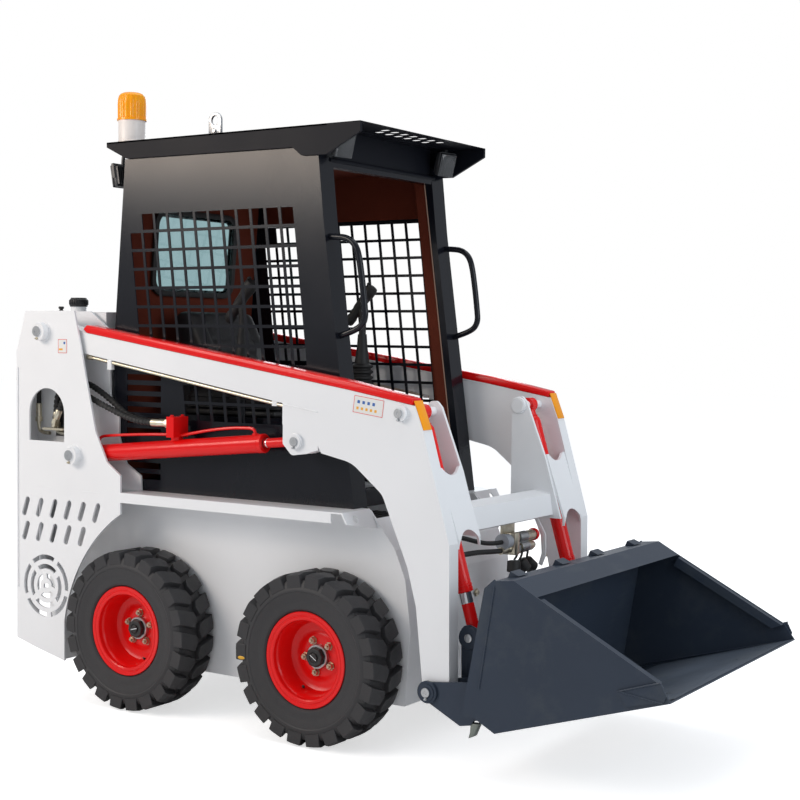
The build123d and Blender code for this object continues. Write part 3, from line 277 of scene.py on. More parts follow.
hard_chrome = painted("hard_chrome", (0.78, 0.78, 0.79), 0.08, 0.02, 0.01, 0.0, 1.0)
engine_iron = painted("engine_iron", (0.06, 0.06, 0.06), 0.6, 0.2, 0.4, 0.3)
amber_plastic = painted("amber_plastic", (0.95, 0.33, 0.004), 0.20, 0.03, 0.02, 0.0, specular=0.2)
seat_vinyl = painted("seat_vinyl", (0.012, 0.012, 0.013), 0.48, 0.06, 0.35, 0.0, slot="seat_cover")
scuffed(bucket_paint, (0.055, 0.066, 0.080), 0.5, (14.0, 3.0, 14.0), 0.22)
scuffed(zinc_plate, (0.42, 0.36, 0.26), 0.5, (30.0, 30.0, 30.0), 0.5)

node_finishes = (white_paint, red_paint, cab_paint, bucket_paint, lining_paint, black_plastic, soft_rubber,
                 tyre_rubber, hard_chrome, zinc_plate, amber_plastic, engine_iron, seat_vinyl)
finish_by_slot = {slot_of[finish.name]: finish for finish in node_finishes}
for part in frame["record"]["subparts"]:
    if part["material_slot"] in finish_by_slot:
        piece = nodes[part["node"]]
        piece.data.materials.clear()
        piece.data.materials.append(finish_by_slot[part["material_slot"]])


# Tyres: moulded rubber, a spun carcass with a rolled bead and a raised ring on each wall,
# and two staggered rows of block lugs vulcanised on. Each lug is one block, tapered,
# sloped at the shoulder and softened along its edges, then copied round the tyre.

wheelbase_middle = -0.3585    # X of the point midway between the axles
tyre_radius = 0.295
tyre_middle = 0.4505          # Y of the tyres' middle planes
axle_offset = 0.412
lugs_per_row = 22


def at(x, y, z):
    """Place in the model, its X counted from midway between the axles."""
    return Vector((x + wheelbase_middle, y, z))


def begin(name, add, **settings):
    """New primitive with nothing else selected."""
    if bpy.context.mode != "OBJECT":
        bpy.ops.object.mode_set(mode="OBJECT")
    bpy.ops.object.select_all(action="DESELECT")
    add(**settings)
    made = bpy.context.object
    made.name = name
    return made


def alone(thing):
    """Make one object the only one selected, and active."""
    bpy.ops.object.select_all(action="DESELECT")
    thing.select_set(True)
    bpy.context.view_layer.objects.active = thing


def set_in_mesh():
    """Put the active object's place, turn and size into its mesh."""
    bpy.ops.object.transform_apply(location=True, rotation=True, scale=True)


def pick(thing, wanted):
    """Enter edit mode with only the faces selected that are wanted."""
    bpy.ops.object.mode_set(mode="EDIT")
    bpy.ops.mesh.select_mode(type="FACE")
    bpy.ops.mesh.select_all(action="DESELECT")
    bpy.ops.object.mode_set(mode="OBJECT")
    for face in thing.data.polygons:
        face.select = wanted(face)
    bpy.ops.object.mode_set(mode="EDIT")


def drawn_out(x, y, z):
    """Extrude what is selected by a step in metres."""
    bpy.ops.mesh.extrude_region_move(TRANSFORM_OT_translate={"value": (x, y, z)})


def faced_out():
    """Turn every face outward and leave edit mode."""
    bpy.ops.mesh.select_all(action="SELECT")
    bpy.ops.mesh.normals_make_consistent(inside=False)
    bpy.ops.object.mode_set(mode="OBJECT")


def modified(thing, kind, **settings):
    """Add a modifier and apply it."""
    alone(thing)
    modifier = thing.modifiers.new(kind.lower(), kind)
    for label, value in settings.items():
        setattr(modifier, label, value)
    bpy.ops.object.modifier_apply(modifier=modifier.name)


def softened(thing, width, segments=2, angle=30):
    """Bevel the sharp edges by a width in millimetres."""
    modified(thing, "BEVEL", width=width / 1000, segments=segments, limit_method="ANGLE",
             angle_limit=math.radians(angle))


def spun(name, profile, steps):
    """Closed ring about the Y axis from a closed profile of (radius, y) points in millimetres."""
    made = begin(name, bpy.ops.mesh.primitive_plane_add, size=0.001)
    bpy.ops.object.mode_set(mode="EDIT")
    bpy.ops.mesh.select_mode(type="VERT")
    bpy.ops.mesh.select_all(action="SELECT")
    bpy.ops.mesh.merge(type="CENTER")
    radius, y = profile[0]
    bpy.ops.transform.translate(value=(radius / 1000, y / 1000, 0))
    for (r0, y0), (r1, y1) in zip(profile, profile[1:]):
        drawn_out((r1 - r0) / 1000, (y1 - y0) / 1000, 0)
    bpy.ops.mesh.select_all(action="SELECT")
    bpy.ops.mesh.edge_face_add()
    bpy.ops.mesh.delete(type="ONLY_FACE")
    bpy.ops.mesh.select_all(action="SELECT")
    bpy.ops.mesh.spin(steps=steps, angle=math.tau, center=(0, 0, 0), axis=(0, 1, 0), use_auto_merge=False)
    bpy.ops.mesh.select_all(action="SELECT")
    bpy.ops.mesh.remove_doubles(threshold=0.0001)
    faced_out()
    return made


def aimed(thing, place, along, turn=0.0):
    """Put a piece made about Z at a place, its axis along a direction."""
    spin = Matrix.Rotation(math.radians(turn), 4, "Z")
    facing = Vector(along).to_track_quat("Z", "Y").to_matrix().to_4x4()
    thing.matrix_world = Matrix.Translation(Vector(place)) @ facing @ spin
    alone(thing)
    set_in_mesh()
    return thing


def turned(name, steps, sides, place=(0, 0, 0), along=(0, 0, 1), turn=0.0):
    """Solid from (radius, height) steps in millimetres, the first one its foot, stood at a place."""
    radius, top = steps[0][0], steps[1][1]
    made = begin(name, bpy.ops.mesh.primitive_cylinder_add, vertices=sides, radius=radius / 1000,
                 depth=top / 1000, location=(0, 0, top / 2000), end_fill_type="NGON")
    set_in_mesh()
    pick(made, lambda face: face.normal.z > 0.9 and face.center.z > top / 1000 - 1e-6)
    for number, (wide, high) in enumerate(steps[1:]):
        if number:
            drawn_out(0, 0, (high - top) / 1000)
        if wide != radius:
            ratio = wide / radius
            bpy.ops.transform.resize(value=(ratio, ratio, 1), center_override=(0, 0, high / 1000))
        radius, top = wide, high
    faced_out()
    return aimed(made, place, along, turn)


def copied(thing, name, change):
    """Copy with its own mesh, moved by a matrix; a mirrored copy is turned right side out."""
    twin = thing.copy()
    twin.data = thing.data.copy()
    twin.name = name
    bpy.context.collection.objects.link(twin)
    twin.data.transform(change)
    if change.determinant() < 0:
        twin.data.flip_normals()
    return twin


def joined(name, things):
    """Several meshes made one piece."""
    bpy.ops.object.select_all(action="DESELECT")
    for thing in things:
        thing.select_set(True)
    bpy.context.view_layer.objects.active = things[0]
    if len(things) > 1:
        bpy.ops.object.join()
    whole = bpy.context.object
    whole.name = name
    return whole


def fitted(name, things, body, finish, replaces=(), slot=None, angle=32):
    """Join finished meshes as one piece, give it its finish and smoothness, and fix it to its body."""
    piece = joined(name, things)
    set_in_mesh()
    piece.data.materials.clear()
    piece.data.materials.append(finish)
    bpy.ops.object.shade_smooth_by_angle(angle=math.radians(angle))
    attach(piece, body)
    slot = slot or slot_of[finish.name]
    if replaces:
        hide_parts(*replaces)
    return piece


# half of the wall, from the bead to the middle of the tread: radius, distance from the middle plane
tyre_wall = (
    (142.5, 64.0), (165.5, 65.0), (167.5, 72.0), (173.0, 77.5), (180.0, 79.0), (190.0, 77.8),
    (205.0, 79.5), (220.0, 83.0), (230.0, 83.8), (233.5, 86.2), (238.5, 86.4), (242.5, 84.6),
    (256.0, 81.5), (269.0, 74.5), (275.0, 60.0), (276.0, 30.0),
)
carcass = spun("carcass", [*tyre_wall, *[(radius, -y) for radius, y in reversed(tyre_wall)]], 72)

# lug's plan, along the tread and across it
lug_chord = 2 * tyre_radius * math.sin(math.radians(360 / lugs_per_row * 0.35))
lug_skew = lug_chord * 0.34
lug_plan = (
    (-lug_chord / 2 - lug_skew * 0.2, 0.0865),
    (lug_chord / 2 - lug_skew * 0.2, 0.0865),
    (lug_chord / 2 + lug_skew, lug_chord * 0.30),
    (lug_skew * 0.9, 0.003),
    (-lug_chord / 2 + lug_skew, lug_chord * 0.22),
)
lug_root = 0.246
lug_foot = 0.268              # where the lug's inner end leaves the tread
lug_shoulder = 0.08           # beyond this distance from the middle plane the lug slopes down
shoulder_drop = 0.0065
shoulder_foot = 0.0850
crown_narrowing = 0.93
lug = begin("lug", bpy.ops.mesh.primitive_circle_add, vertices=len(lug_plan), radius=0.03, fill_type="NGON")
for vertex, (x, y) in zip(lug.data.vertices, lug_plan):
    vertex.co = (x, y, lug_root)
pick(lug, lambda face: True)
drawn_out(0, 0, tyre_radius - lug_root)
bpy.ops.mesh.select_all(action="SELECT")
bpy.ops.mesh.normals_make_consistent(inside=False)
lug_cuts = (((0, 0.062, 0), (0, 1, 0)), ((0, 0.040, 0), (0, 1, 0)), ((lug_skew * 0.4, 0, 0), (1, 0, 0)))
for cut, facing in lug_cuts:
    bpy.ops.mesh.select_all(action="SELECT")
    bpy.ops.mesh.bisect(plane_co=cut, plane_no=facing)
bpy.ops.object.mode_set(mode="OBJECT")
for vertex in lug.data.vertices:
    if vertex.co.z > (lug_root + tyre_radius) / 2:
        if vertex.co.y > lug_shoulder:
            vertex.co.z -= shoulder_drop
        vertex.co.x *= crown_narrowing
    elif vertex.co.y > lug_shoulder:
        vertex.co.y = shoulder_foot
    else:
        vertex.co.z = lug_foot
    vertex.co.z = math.sqrt(vertex.co.z ** 2 - vertex.co.x ** 2)
softened(lug, 1.4, 1, 28)

lug_step = math.tau / lugs_per_row
row = []
for count in range(lugs_per_row):
    row.append(copied(lug, "lug", Matrix.Rotation(count * lug_step, 4, "Y")))
    across = Matrix.Rotation((count + 0.5) * lug_step, 4, "Y") @ Matrix.Scale(-1, 4, (0, 1, 0))
    row.append(copied(lug, "lug", across))
bpy.data.objects.remove(lug)
master_tyre = joined("tyre", [carcass, *row])

# Rims: pressed steel, painted red, with a rolled flange, a deep stepped dish and a raised
# middle. Five plated nuts, a chrome ring and a black hub nut with a slotted screw end.

rim_profile = (
    (142.5, -66.5), (160.0, -66.5), (163.8, -69.0), (164.2, -72.2), (162.0, -74.5), (158.5, -74.0),
    (151.5, -72.8), (149.5, -71.0), (147.5, -71.0), (145.5, -72.8), (138.5, -72.5), (135.2, -70.2),
    (134.2, -56.0), (130.0, -50.0), (127.5, -43.0), (123.5, -5.0), (118.0, 7.0), (106.0, 13.0),
    (88.0, 15.5), (78.0, 12.5), (72.0, 10.0), (62.0, 9.5), (25.2, 9.5), (25.2, 54.0), (62.0, 54.0),
    (62.0, 19.5), (88.0, 23.5), (118.0, 19.0), (136.0, 13.0), (136.0, 72.2), (164.0, 72.2),
    (164.0, 66.5), (142.5, 66.5),
)
nut_circle = 0.057
disc_face = 0.0095            # the dish's middle stands this far behind the tyre's middle plane
nut_steps = ((15, 0), (15, 3), (12.2, 3), (12.2, 13), (10.5, 15), (6, 15), (6, 21), (4.5, 22.2))
hub_ring_steps = ((42, 0), (42, 15), (39.5, 17.5), (36, 17.5), (35, 14))
hub_nut_steps = ((34.5, 0), (34.5, 30), (31.5, 33), (20, 33), (18.5, 30), (15, 30), (15, 35), (13, 36.5))
valve_steps = ((5, 0), (5, 9), (3.5, 10), (3.5, 18))
outward = (0, -1, 0)
nuts = []
for count in range(5):
    angle = math.radians(18 + count * 72)
    spot = Vector((math.cos(angle) * nut_circle, disc_face, math.sin(angle) * nut_circle))
    nuts.append(turned("wheel_nut", nut_steps, 6, spot, outward, count * 23))
hub_nut = turned("hub_nut", hub_nut_steps, 8, (0, disc_face, 0), outward, 12)
softened(hub_nut, 1.2)
screw_slot = begin("screw_slot", bpy.ops.mesh.primitive_cube_add, size=1, location=(0, disc_face - 0.0365, 0))
screw_slot.scale = (0.030, 0.0016, 0.0026)
set_in_mesh()
screw_slot.data.transform(Matrix.Rotation(math.radians(-14), 4, "Y"))
hub_ring = turned("hub_ring", hub_ring_steps, 32, (0, disc_face, 0), outward)
valve = turned("valve", valve_steps, 10, (0.045, -0.010, -0.112), (0, -0.8, 0.6))

nut_plating = painted("nut_plating", (0.52, 0.40, 0.30), 0.34, 0.2, 0.1, 0.05, 1.0, slot="zinc_steel")
wheel_places = (
    ("rear_right", -axle_offset, -1, 0),
    ("front_right", axle_offset, -1, 47),
    ("rear_left", -axle_offset, 1, 20),
    ("front_left", axle_offset, 1, 65),
)
wheel_parts = (
    ("tyre", master_tyre, tyre_rubber, "tyre_rubber", 28),
    ("rim", spun("rim", rim_profile, 64), red_paint, "red_paint", 30),
    ("wheel_nuts", joined("wheel_nuts", nuts), nut_plating, "zinc_steel", 30),
    ("hub_ring", hub_ring, bare_steel, "hard_chrome", 30),
    ("hub_nut", hub_nut, black_plastic, "black_plastic", 25),
    ("screw_slot", screw_slot, hard_chrome, "hard_chrome", 25),
    ("valve", valve, black_plastic, "black_plastic", 30),
)
for corner, x, side, turn in wheel_places:
    place = Matrix.Translation(at(x, side * tyre_middle, tyre_radius))
    across = Matrix.Scale(-1, 4, (0, 1, 0)) if side > 0 else Matrix.Identity(4)
    for part, master, finish, part_slot, smooth in wheel_parts:
        rolled = Matrix.Identity(4) if part == "tyre" else Matrix.Rotation(math.radians(turn), 4, "Y")
        name = f"{part}_{corner}_fine"
        copy = copied(master, name, place @ across @ rolled)
        taken = (f"{part}_{corner}",) if part in ("tyre", "rim") else ()
        fitted(name, [copy], f"wheel_{corner}", finish, taken, part_slot, smooth)
for entry in wheel_parts:
    bpy.data.objects.remove(entry[1])

# Paint mark: a dab of yellow marking paint that was brushed by hand across one lug of the
# right front tyre, low and rounded.

paint_dab = begin("tyre_mark", bpy.ops.mesh.primitive_uv_sphere_add, segments=20, ring_count=10, radius=0.01,
                  location=at(0.146, -0.5335, 0.272))
paint_dab.scale = (1.9, 0.45, 0.75)
set_in_mesh()
marking_yellow = painted("marking_yellow", (0.72, 0.38, 0.02), 0.45, 0.10, 0.10, 0.0, slot="amber_plastic")
fitted("tyre_mark_fine", [paint_dab], "wheel_front_right", marking_yellow, angle=60)

# Towers: welded plate, painted white. Ground steel pin ends stand in round bosses, each with
# a grease nipple below it and a bead of weld round its foot and over it; the rear plates
# carry round reflectors.

mirror_y = Matrix.Scale(-1, 4, (0, 1, 0))
even = (1.0,)                 # straight tube of one thickness
ripple = (1.0, 0.72)          # the rise and fall of a bead of weld


def mm(*values):
    """Millimetres, X counted from midway between the axles, to the model's metres."""
    return at(*[value / 1000 for value in values])


def sawn(name, corners, y0, y1):
    """Plate cut to a side-view outline of (x, z) millimetres, between two Y planes."""
    made = begin(name, bpy.ops.mesh.primitive_circle_add, vertices=len(corners), radius=0.01,
                 fill_type="NGON")
    for vertex, (x, z) in zip(made.data.vertices, corners):
        vertex.co = mm(x, y0, z)
    pick(made, lambda face: True)
    drawn_out(0, (y1 - y0) / 1000, 0)
    faced_out()
    return made


def boxed(name, low, high, soft=0.0, segments=2):
    """Rectangular piece between two corners in millimetres, its edges softened."""
    low, high = mm(*low), mm(*high)
    made = begin(name, bpy.ops.mesh.primitive_cube_add, size=1, location=(low + high) / 2)
    made.scale = high - low
    set_in_mesh()
    if soft:
        softened(made, soft, segments)
    return made


def carried(thing, change):
    """Move a piece modelled about the point midway between the axles by a matrix."""
    thing.data.transform(change @ Matrix.Translation(-at(0, 0, 0)))
    return thing


def piped(name, points, radius, sides=3, widths=None, closed=False):
    """Tube along points in millimetres: smooth, or from point to point with widths that take turns."""
    line = bpy.data.curves.new(name, "CURVE")
    line.dimensions = "3D"
    line.bevel_depth = radius / 1000
    line.bevel_resolution = sides
    line.use_fill_caps = not closed
    line.resolution_u = 6
    route = line.splines.new("POLY" if widths else "NURBS")
    route.points.add(len(points) - 1)
    for number, (point, place) in enumerate(zip(route.points, points)):
        point.co = (*mm(*place), 1)
        if widths:
            point.radius = widths[number % len(widths)]
    route.use_cyclic_u = closed
    if route.type == "NURBS":
        route.order_u = 3
        route.use_endpoint_u = True
    made = bpy.data.objects.new(name, line)
    bpy.context.collection.objects.link(made)
    alone(made)
    bpy.ops.object.convert(target="MESH")
    return bpy.context.object


def spaced(start, end, step):
    """Points at even steps from one point to another."""
    count = max(2, round(math.dist(start, end) / step))
    return [[a + (b - a) * n / count for a, b in zip(start, end)] for n in range(count + 1)]


def weld_ring(centre, radius, bead, plane="xz", ripples=None):
    """Rippled bead of weld round a boss, in the side view (xz) or the front view (yz)."""
    count = ripples or max(16, round(math.tau * radius / (bead * 1.5) / 2) * 2)
    points = []
    for number in range(count):
        angle = math.tau * number / count
        a, b = radius * math.cos(angle), radius * math.sin(angle)
        offset = (a, 0, b) if plane == "xz" else (0, a, b)
        points.append([c + o for c, o in zip(centre, offset)])
    return piped("weld", points, bead, 2, ripple, True)


def weld_line(start, end, bead):
    """Rippled bead of weld along a straight joint."""
    return piped("weld", spaced(start, end, bead * 1.6), bead, 2, ripple)


def on_both_sides(name, things, body, finish, slot=None):
    """Join right-hand meshes and fit them and their mirror image; {} in a body stands for the side."""
    right = joined(f"{name}_right_fine", things)
    left = copied(right, f"{name}_left_fine", mirror_y)
    for piece, side in ((right, "right"), (left, "left")):
        fitted(piece.name, [piece], body.format(side), finish, slot=slot)


nipple_steps = ((5.2, 0), (5.2, 4), (3.2, 4), (3.2, 8), (4, 9.5), (2.2, 12))
pin_end_steps = ((19.5, 0), (19.5, 3.6), (17.8, 5.2), (7, 5.2), (5, 3))
arm_pivot, lift_base = (-850, 1388), (-680, 927)       # pins of the arm and of the lift cylinder's foot
pin_ends, nipples, tower_welds = [], [], []
for x, z in (arm_pivot, lift_base):
    pin_ends.append(turned("pin_end", pin_end_steps, 28, mm(x, -545, z), outward))
    nipples.append(turned("nipple", nipple_steps, 6, mm(x, -541, z - 27), outward))
    tower_welds.append(weld_ring((x, -513, z), 36.5, 3.2))
    tower_welds.append(weld_line((x - 9, -542.5, z + 28.5), (x + 9, -542.5, z + 28.5), 2.4))
# the rear plate's joint, the inner plate's foot on the shelf and the two plugs in the outer plate
tower_welds.append(weld_line((-986, -514, 400), (-986, -514, 1250), 2.2))
tower_welds.append(weld_line((-600, -403, 801), (-445, -403, 801), 3.0))
tower_welds.append(weld_line((-888, -512, 796), (-804, -512, 796), 1.3))
tower_welds.append(weld_line((-642, -512, 792), (-555, -512, 792), 1.3))
on_both_sides("tower_pin_ends", pin_ends, "chassis", bare_steel)
on_both_sides("tower_nipples", nipples, "chassis", zinc_plate)
on_both_sides("tower_welds", tower_welds, "chassis", white_paint)

lens_red = painted("reflector_red", (0.50, 0.010, 0.008), 0.16, 0.03, 0.10, 0.1, coat=0.4, slot="red_paint")
reflector_steps = ((33, 0), (33, 6), (30, 8.5), (28.5, 8.5), (27.5, 7), (12, 7.5))
reflector = turned("reflector", reflector_steps, 36, mm(-996.2, -458, 1130), (-1, 0, 0))
on_both_sides("rear_reflector", [reflector], "chassis", lens_red)

# Behind each tower's window: a near-black plate that is painted shade, standing for the
# shaded inside seen through the opening; a hose that drops into a plated collar and an
# elbow under each of the two lift ports.

drop_steps = ((10, 0), (11.5, 2), (11.5, 52), (14, 54), (14, 70), (9, 72), (8, 82))
elbow_nut_steps = ((15, 0), (15, 18), (13.5, 19.5))
rear_elbow = ((-950, 1032), (-949, 1012), (-938, 1000), (-915, 996), (-890, 996))
front_elbow = ((-868, 1060), (-868, 1030), (-862, 1006), (-845, 998), (-815, 998))
# Painted shade: a near-black plate where the view through the window falls into shade.
window_shade_plate = boxed("window_shade_plate", (-884, -414.6, 985), (-792, -412.4, 1180))
on_both_sides("window_painted_shade", [window_shade_plate], "chassis", engine_iron)
drop_hose = piped("drop_hose", [(-950, -440, z) for z in (1188, 1150, 1104)], 9)
on_both_sides("tower_drop_hose", [drop_hose], "chassis", soft_rubber)
on_both_sides("tower_elbows", [
    turned("drop_collar", drop_steps, 20, mm(-950, -440, 1110), (0, 0, -1)),
    piped("elbow", [(x, -440, z) for x, z in rear_elbow], 7),
    piped("elbow", [(x, -428, z) for x, z in front_elbow], 8),
    turned("nut", elbow_nut_steps, 6, mm(-868, -428, 1044)),
], "chassis", zinc_plate)

# Labels: plain vinyl with a printed rim and bare blocks of colour and no words, stuck on
# the tower below the arm's pin and on the arm above its knee.

label_white = painted("label_white", (0.80, 0.80, 0.78), 0.35, 0.03, 0.03, 0.05, slot="white_paint")
label_blue = painted("label_blue", (0.030, 0.130, 0.420), 0.35, 0.03, 0.03, 0.0, slot="")
label_amber = painted("label_amber", (0.850, 0.420, 0.030), 0.35, 0.03, 0.03, 0.0, slot="amber_plastic")
rim_width = 1.6


def label_block(front, x, z, wide, high):
    """Thin block about a point of a label, its front face at a distance from the machine's middle."""
    return boxed("block", (x - wide / 2, -front, z - high / 2), (x + wide / 2, 0.4 - front, z + high / 2))


# name, body, place, face, size and lean, then each block's place and size
labels = (
    ("tower_label", "chassis", (-745, 1333), 512, (46, 52), 0.0,
     [(10, 12, 9, 9)], [(-9, -12, 20, 7)]),
    ("arm_label", "lift_arm", (640, 1154), 492, (118, 56), 7.4,
     [(x, 9, 10, 10) for x in (-40, -20, 0, 20)], [(x, -12, 9, 9) for x in (-42, -24, -6, 12, 30)]),
)
for label, body, (x, z), face, (wide, high), lean, blue_blocks, amber_blocks in labels:
    stuck = Matrix.Translation(mm(x, 0, z)) @ Matrix.Rotation(math.radians(lean), 4, "Y")
    rim = [(0, side * (high - rim_width) / 2, wide, rim_width) for side in (1, -1)]
    rim += [(side * (wide - rim_width) / 2, 0, rim_width, high) for side in (-1, 1)]
    layers = []
    for tag, front, blocks, tone in (
        ("", face + 0.5, [(0, 0, wide, high)], label_white), ("_rim", face + 0.8, rim, red_paint),
        ("_blue", face + 0.8, blue_blocks, label_blue), ("_amber", face + 0.8, amber_blocks, label_amber),
    ):
        pieces = [carried(label_block(front, *block), stuck) for block in blocks]
        layers.append((label + tag, [joined(label + tag, pieces)], body, tone))
    for layer in layers:
        on_both_sides(*layer)

# Tub: folded and welded plate, white. Beads of weld run along the shelves and the nose;
# plated hexagon bolts on washers hold the nose plate and the rear bumper.

bolt_steps = ((11, 0), (11, 1.6), (7.8, 1.6), (7.8, 7), (6.6, 8), (3, 8))
washer_steps = ((12.5, 0), (12.5, 1.4), (11.8, 1.8))


def bolts(places, along, size):
    """Hexagon bolts on washers at places in millimetres, as one mesh."""
    made = []
    for number, place in enumerate(places):
        piece = joined("bolt", [turned("bolt", bolt_steps, 6), turned("washer", washer_steps, 20)])
        piece.scale = (size, size, size)
        set_in_mesh()
        made.append(aimed(piece, mm(*place), along, 17 + number * 31))
    return joined("bolts", made)


shelf_weld = weld_line((-430, -352, 794), (548, -352, 794), 3.2)
nose_weld = weld_line((566, -352, 780), (655, -352, 672), 2.8)
on_both_sides("tub_welds", [shelf_weld, nose_weld], "chassis", white_paint)
nose_bolts = bolts([(714.5, y, 470) for y in (-270, -90, 90, 270)], (1, 0, 0), 1.2)
fitted("nose_bolts_fine", [nose_bolts], "chassis", zinc_plate)
bumper_bolts = bolts([(-996.3, y, 380) for y in (-300, -100, 100, 300)], (-1, 0, 0), 1.3)
fitted("bumper_bolts_fine", [bumper_bolts], "chassis", zinc_plate)

# Filler cap: moulded black cap with grip ribs round its rim and a shallow cup on top,
# screwed onto the tank's neck, which it hides. A small breather stands behind it.

cap_place = mm(-878, -300, 1486)
cap_ribs = 24
cap_steps = ((33.5, -19.6), (33.5, 2), (35, 6), (35, 27), (33, 30), (31, 31.5), (30, 35), (26, 35), (25, 33),
             (10, 33))
breather_steps = ((10, 0), (10, 5), (7, 6), (7, 11), (11, 13), (11, 19), (8, 21))
cap_parts = [turned("cap_body", cap_steps, 48, cap_place)]
for count in range(cap_ribs):
    turn = Matrix.Translation(cap_place) @ Matrix.Rotation(math.tau * count / cap_ribs, 4, "Z")
    cap_parts.append(carried(boxed("rib", (-2.6, 33, 8), (2.6, 37.5, 26), 1.2), turn))
fitted("filler_cap_fine", cap_parts, "chassis", black_plastic, ("filler_cap",))
breather = turned("breather", breather_steps, 16, mm(-975, -300, 1466.5))
fitted("tank_breather_fine", [breather], "chassis", black_plastic)

# Rear door and hood: a plated quarter-turn lock with its key plate on the door, and a lift
# handle of bent bar on the hood.

lock_steps = ((23, 0), (23, 3), (21, 4.5), (15, 4.5), (14, 9), (12.5, 10))
door_lock = [
    turned("lock", lock_steps, 28, mm(-996.2, -352, 840), (-1, 0, 0)),
    boxed("lock_key", (-1011, -357, 829), (-1005, -347, 851), 2.0),
]
fitted("door_lock_fine", door_lock, "door", zinc_plate)
hood_grip_route = [(120, 1466), (120, 1490), (128, 1502), (200, 1502), (208, 1490), (208, 1466)]
hood_grip = piped("hood_grip", [(-905, y, z) for y, z in hood_grip_route], 6)
fitted("hood_grip_fine", [hood_grip], "hood", black_plastic)

# Cab: sheet steel in satin black. Inside, a brown felt-faced lining also covers the rear wall
# round the window; the glass stands in a black rubber frame with rounded corners, and a strip
# of felt with a pale trim runs up the inside of both front posts.


def rounded(half_width, low, high, radius, steps=6):
    """Corners (y, z) of a rectangle with rounded corners, in millimetres."""
    corners = []
    for side, upper, start in ((1, 1, 0), (-1, 1, 90), (-1, -1, 180), (1, -1, 270)):
        middle = (side * (half_width - radius), high - radius if upper > 0 else low + radius)
        for step in range(steps + 1):
            angle = math.radians(start + 90 * step / steps)
            corners.append((middle[0] + radius * math.cos(angle), middle[1] + radius * math.sin(angle)))
    return corners


def framed(name, outer, inner, x0, x1):
    """Ring between two outlines of (y, z) millimetres with as many corners, from x0 to x1."""
    loops = []
    for outline in (outer, inner):
        loop = begin(name, bpy.ops.mesh.primitive_circle_add, vertices=len(outline), radius=0.01)
        for vertex, (y, z) in zip(loop.data.vertices, outline):
            vertex.co = mm(x0, y, z)
        loops.append(loop)
    made = joined(name, loops)
    bpy.ops.object.mode_set(mode="EDIT")
    bpy.ops.mesh.select_mode(type="EDGE")
    bpy.ops.mesh.select_all(action="SELECT")
    bpy.ops.mesh.bridge_edge_loops()
    bpy.ops.mesh.select_all(action="SELECT")
    drawn_out((x1 - x0) / 1000, 0, 0)
    faced_out()
    return made


wall_bend_z = 1300            # the rear wall is upright below this height and runs forward above it
rear_wall_lean = 59 / 730


def wall_x(z):
    """Inner face of the cab's rear wall at a height."""
    return -586 + max(0, z - wall_bend_z) * rear_wall_lean


def leaned(thing, base):
    """Lean a flat piece with the cab's rear wall about a height in millimetres."""
    for vertex in thing.data.vertices:
        vertex.co.x += (vertex.co.z - base / 1000) * rear_wall_lean
    return thing


lining_foot = wall_bend_z + 2
lining_x = wall_x(lining_foot)
upper_lining = framed("lining", rounded(386, lining_foot, 2006, 8), rounded(228, 1544, 1850, 50),
                      lining_x + 1, lining_x + 4)
lower_lining = boxed("lining", (-585, -340, 822), (-582, 340, wall_bend_z))
fitted("rear_lining_fine", [leaned(upper_lining, lining_foot), lower_lining], "chassis", lining_paint)

rubber_foot = 1529
window_frames = []
for x0, x1 in ((9.5, 22), (-13, -4.3)):
    piece = framed("window_rubber", rounded(243, rubber_foot, 1865, 60), rounded(222, 1550, 1844, 48),
                   wall_x(rubber_foot) + x0, wall_x(rubber_foot) + x1)
    softened(piece, 3, 2, 50)
    window_frames.append(leaned(piece, rubber_foot))
fitted("window_rubber_fine", window_frames, "chassis", soft_rubber)


pane, pane_tree, pane_shader = finish_of("tinted_pane", "window_glass", 0.03)
pane_haze = (noise(pane_tree, 7.0, 4.0, 0.6), "Fac")
dark_tint, light_tint = (0.52, 0.82, 0.82, 1), (0.70, 0.97, 0.96, 1)
tint = wired(pane_tree, "Mix", {0: pane_haze, 6: dark_tint, 7: light_tint}, data_type="RGBA")
smears = remapped(pane_tree, pane_haze, 0.35, 0.75, 0.02, 0.09)
linked(pane_tree, pane_shader, {"Transmission Weight": 1.0, "IOR": 1.45, "Base Color": (tint, 2),
                                "Roughness": (smears, "Result")})
nodes["rear_window_glass"].data.materials.clear()
nodes["rear_window_glass"].data.materials.append(pane)


def post_point(z, depth):
    """Side-view point at a height, some way behind the leaning front posts' front faces."""
    return 386 - (z - 1718) * 0.1365 - depth, z


post_low, post_high = 830, 1984
felt_edges = ((post_low, 66), (post_low, 24), (post_high, 24), (post_high, 66))
felt_corners = [post_point(z, depth) for z, depth in felt_edges]
on_both_sides("post_felt", [sawn("post_felt", felt_corners, -317.9, -316)], "chassis", lining_paint)
trim_tan = painted("edge_trim", (0.28, 0.17, 0.12), 0.45, 0.06, 0.10, 0.0, slot="lining_paint")
trim_ends = [(x, -316, z) for x, z in (post_point(post_low, 22), post_point(post_high, 22))]
on_both_sides("edge_trim", [piped("edge_trim", spaced(*trim_ends, 120), 2.4, 2, even)], "chassis", trim_tan)

# Grab handles: steel tube bent twice in one plane, its ends welded to the posts' front faces
# and painted with the cab.

handle_y = -372
handle_route = [(388, 1719), (432, 1717), (468, 1711), (497, 1690), (513, 1652), (528, 1560), (538, 1480),
                (541, 1445), (527, 1417), (496, 1401), (446, 1385), (433, 1381)]
handle = piped("grab_handle", [(x, handle_y, z) for x, z in handle_route], 11, 4)
both_handles = [handle, copied(handle, "grab_handle", mirror_y)]
fitted("grab_handles_fine", both_handles, "chassis", cab_paint, ("grab_handles",))
handle_welds = [weld_ring((x, handle_y, z), 13.5, 3.0, "yz") for x, z in ((386, 1718), (432, 1381))]
on_both_sides("handle_welds", handle_welds, "chassis", cab_paint)

# Roof: one sheet with two staggered rows of slots near its front edge, side skirts with a
# step, a drop at the rear, and a header plate with a rolled lower edge above the doorway.


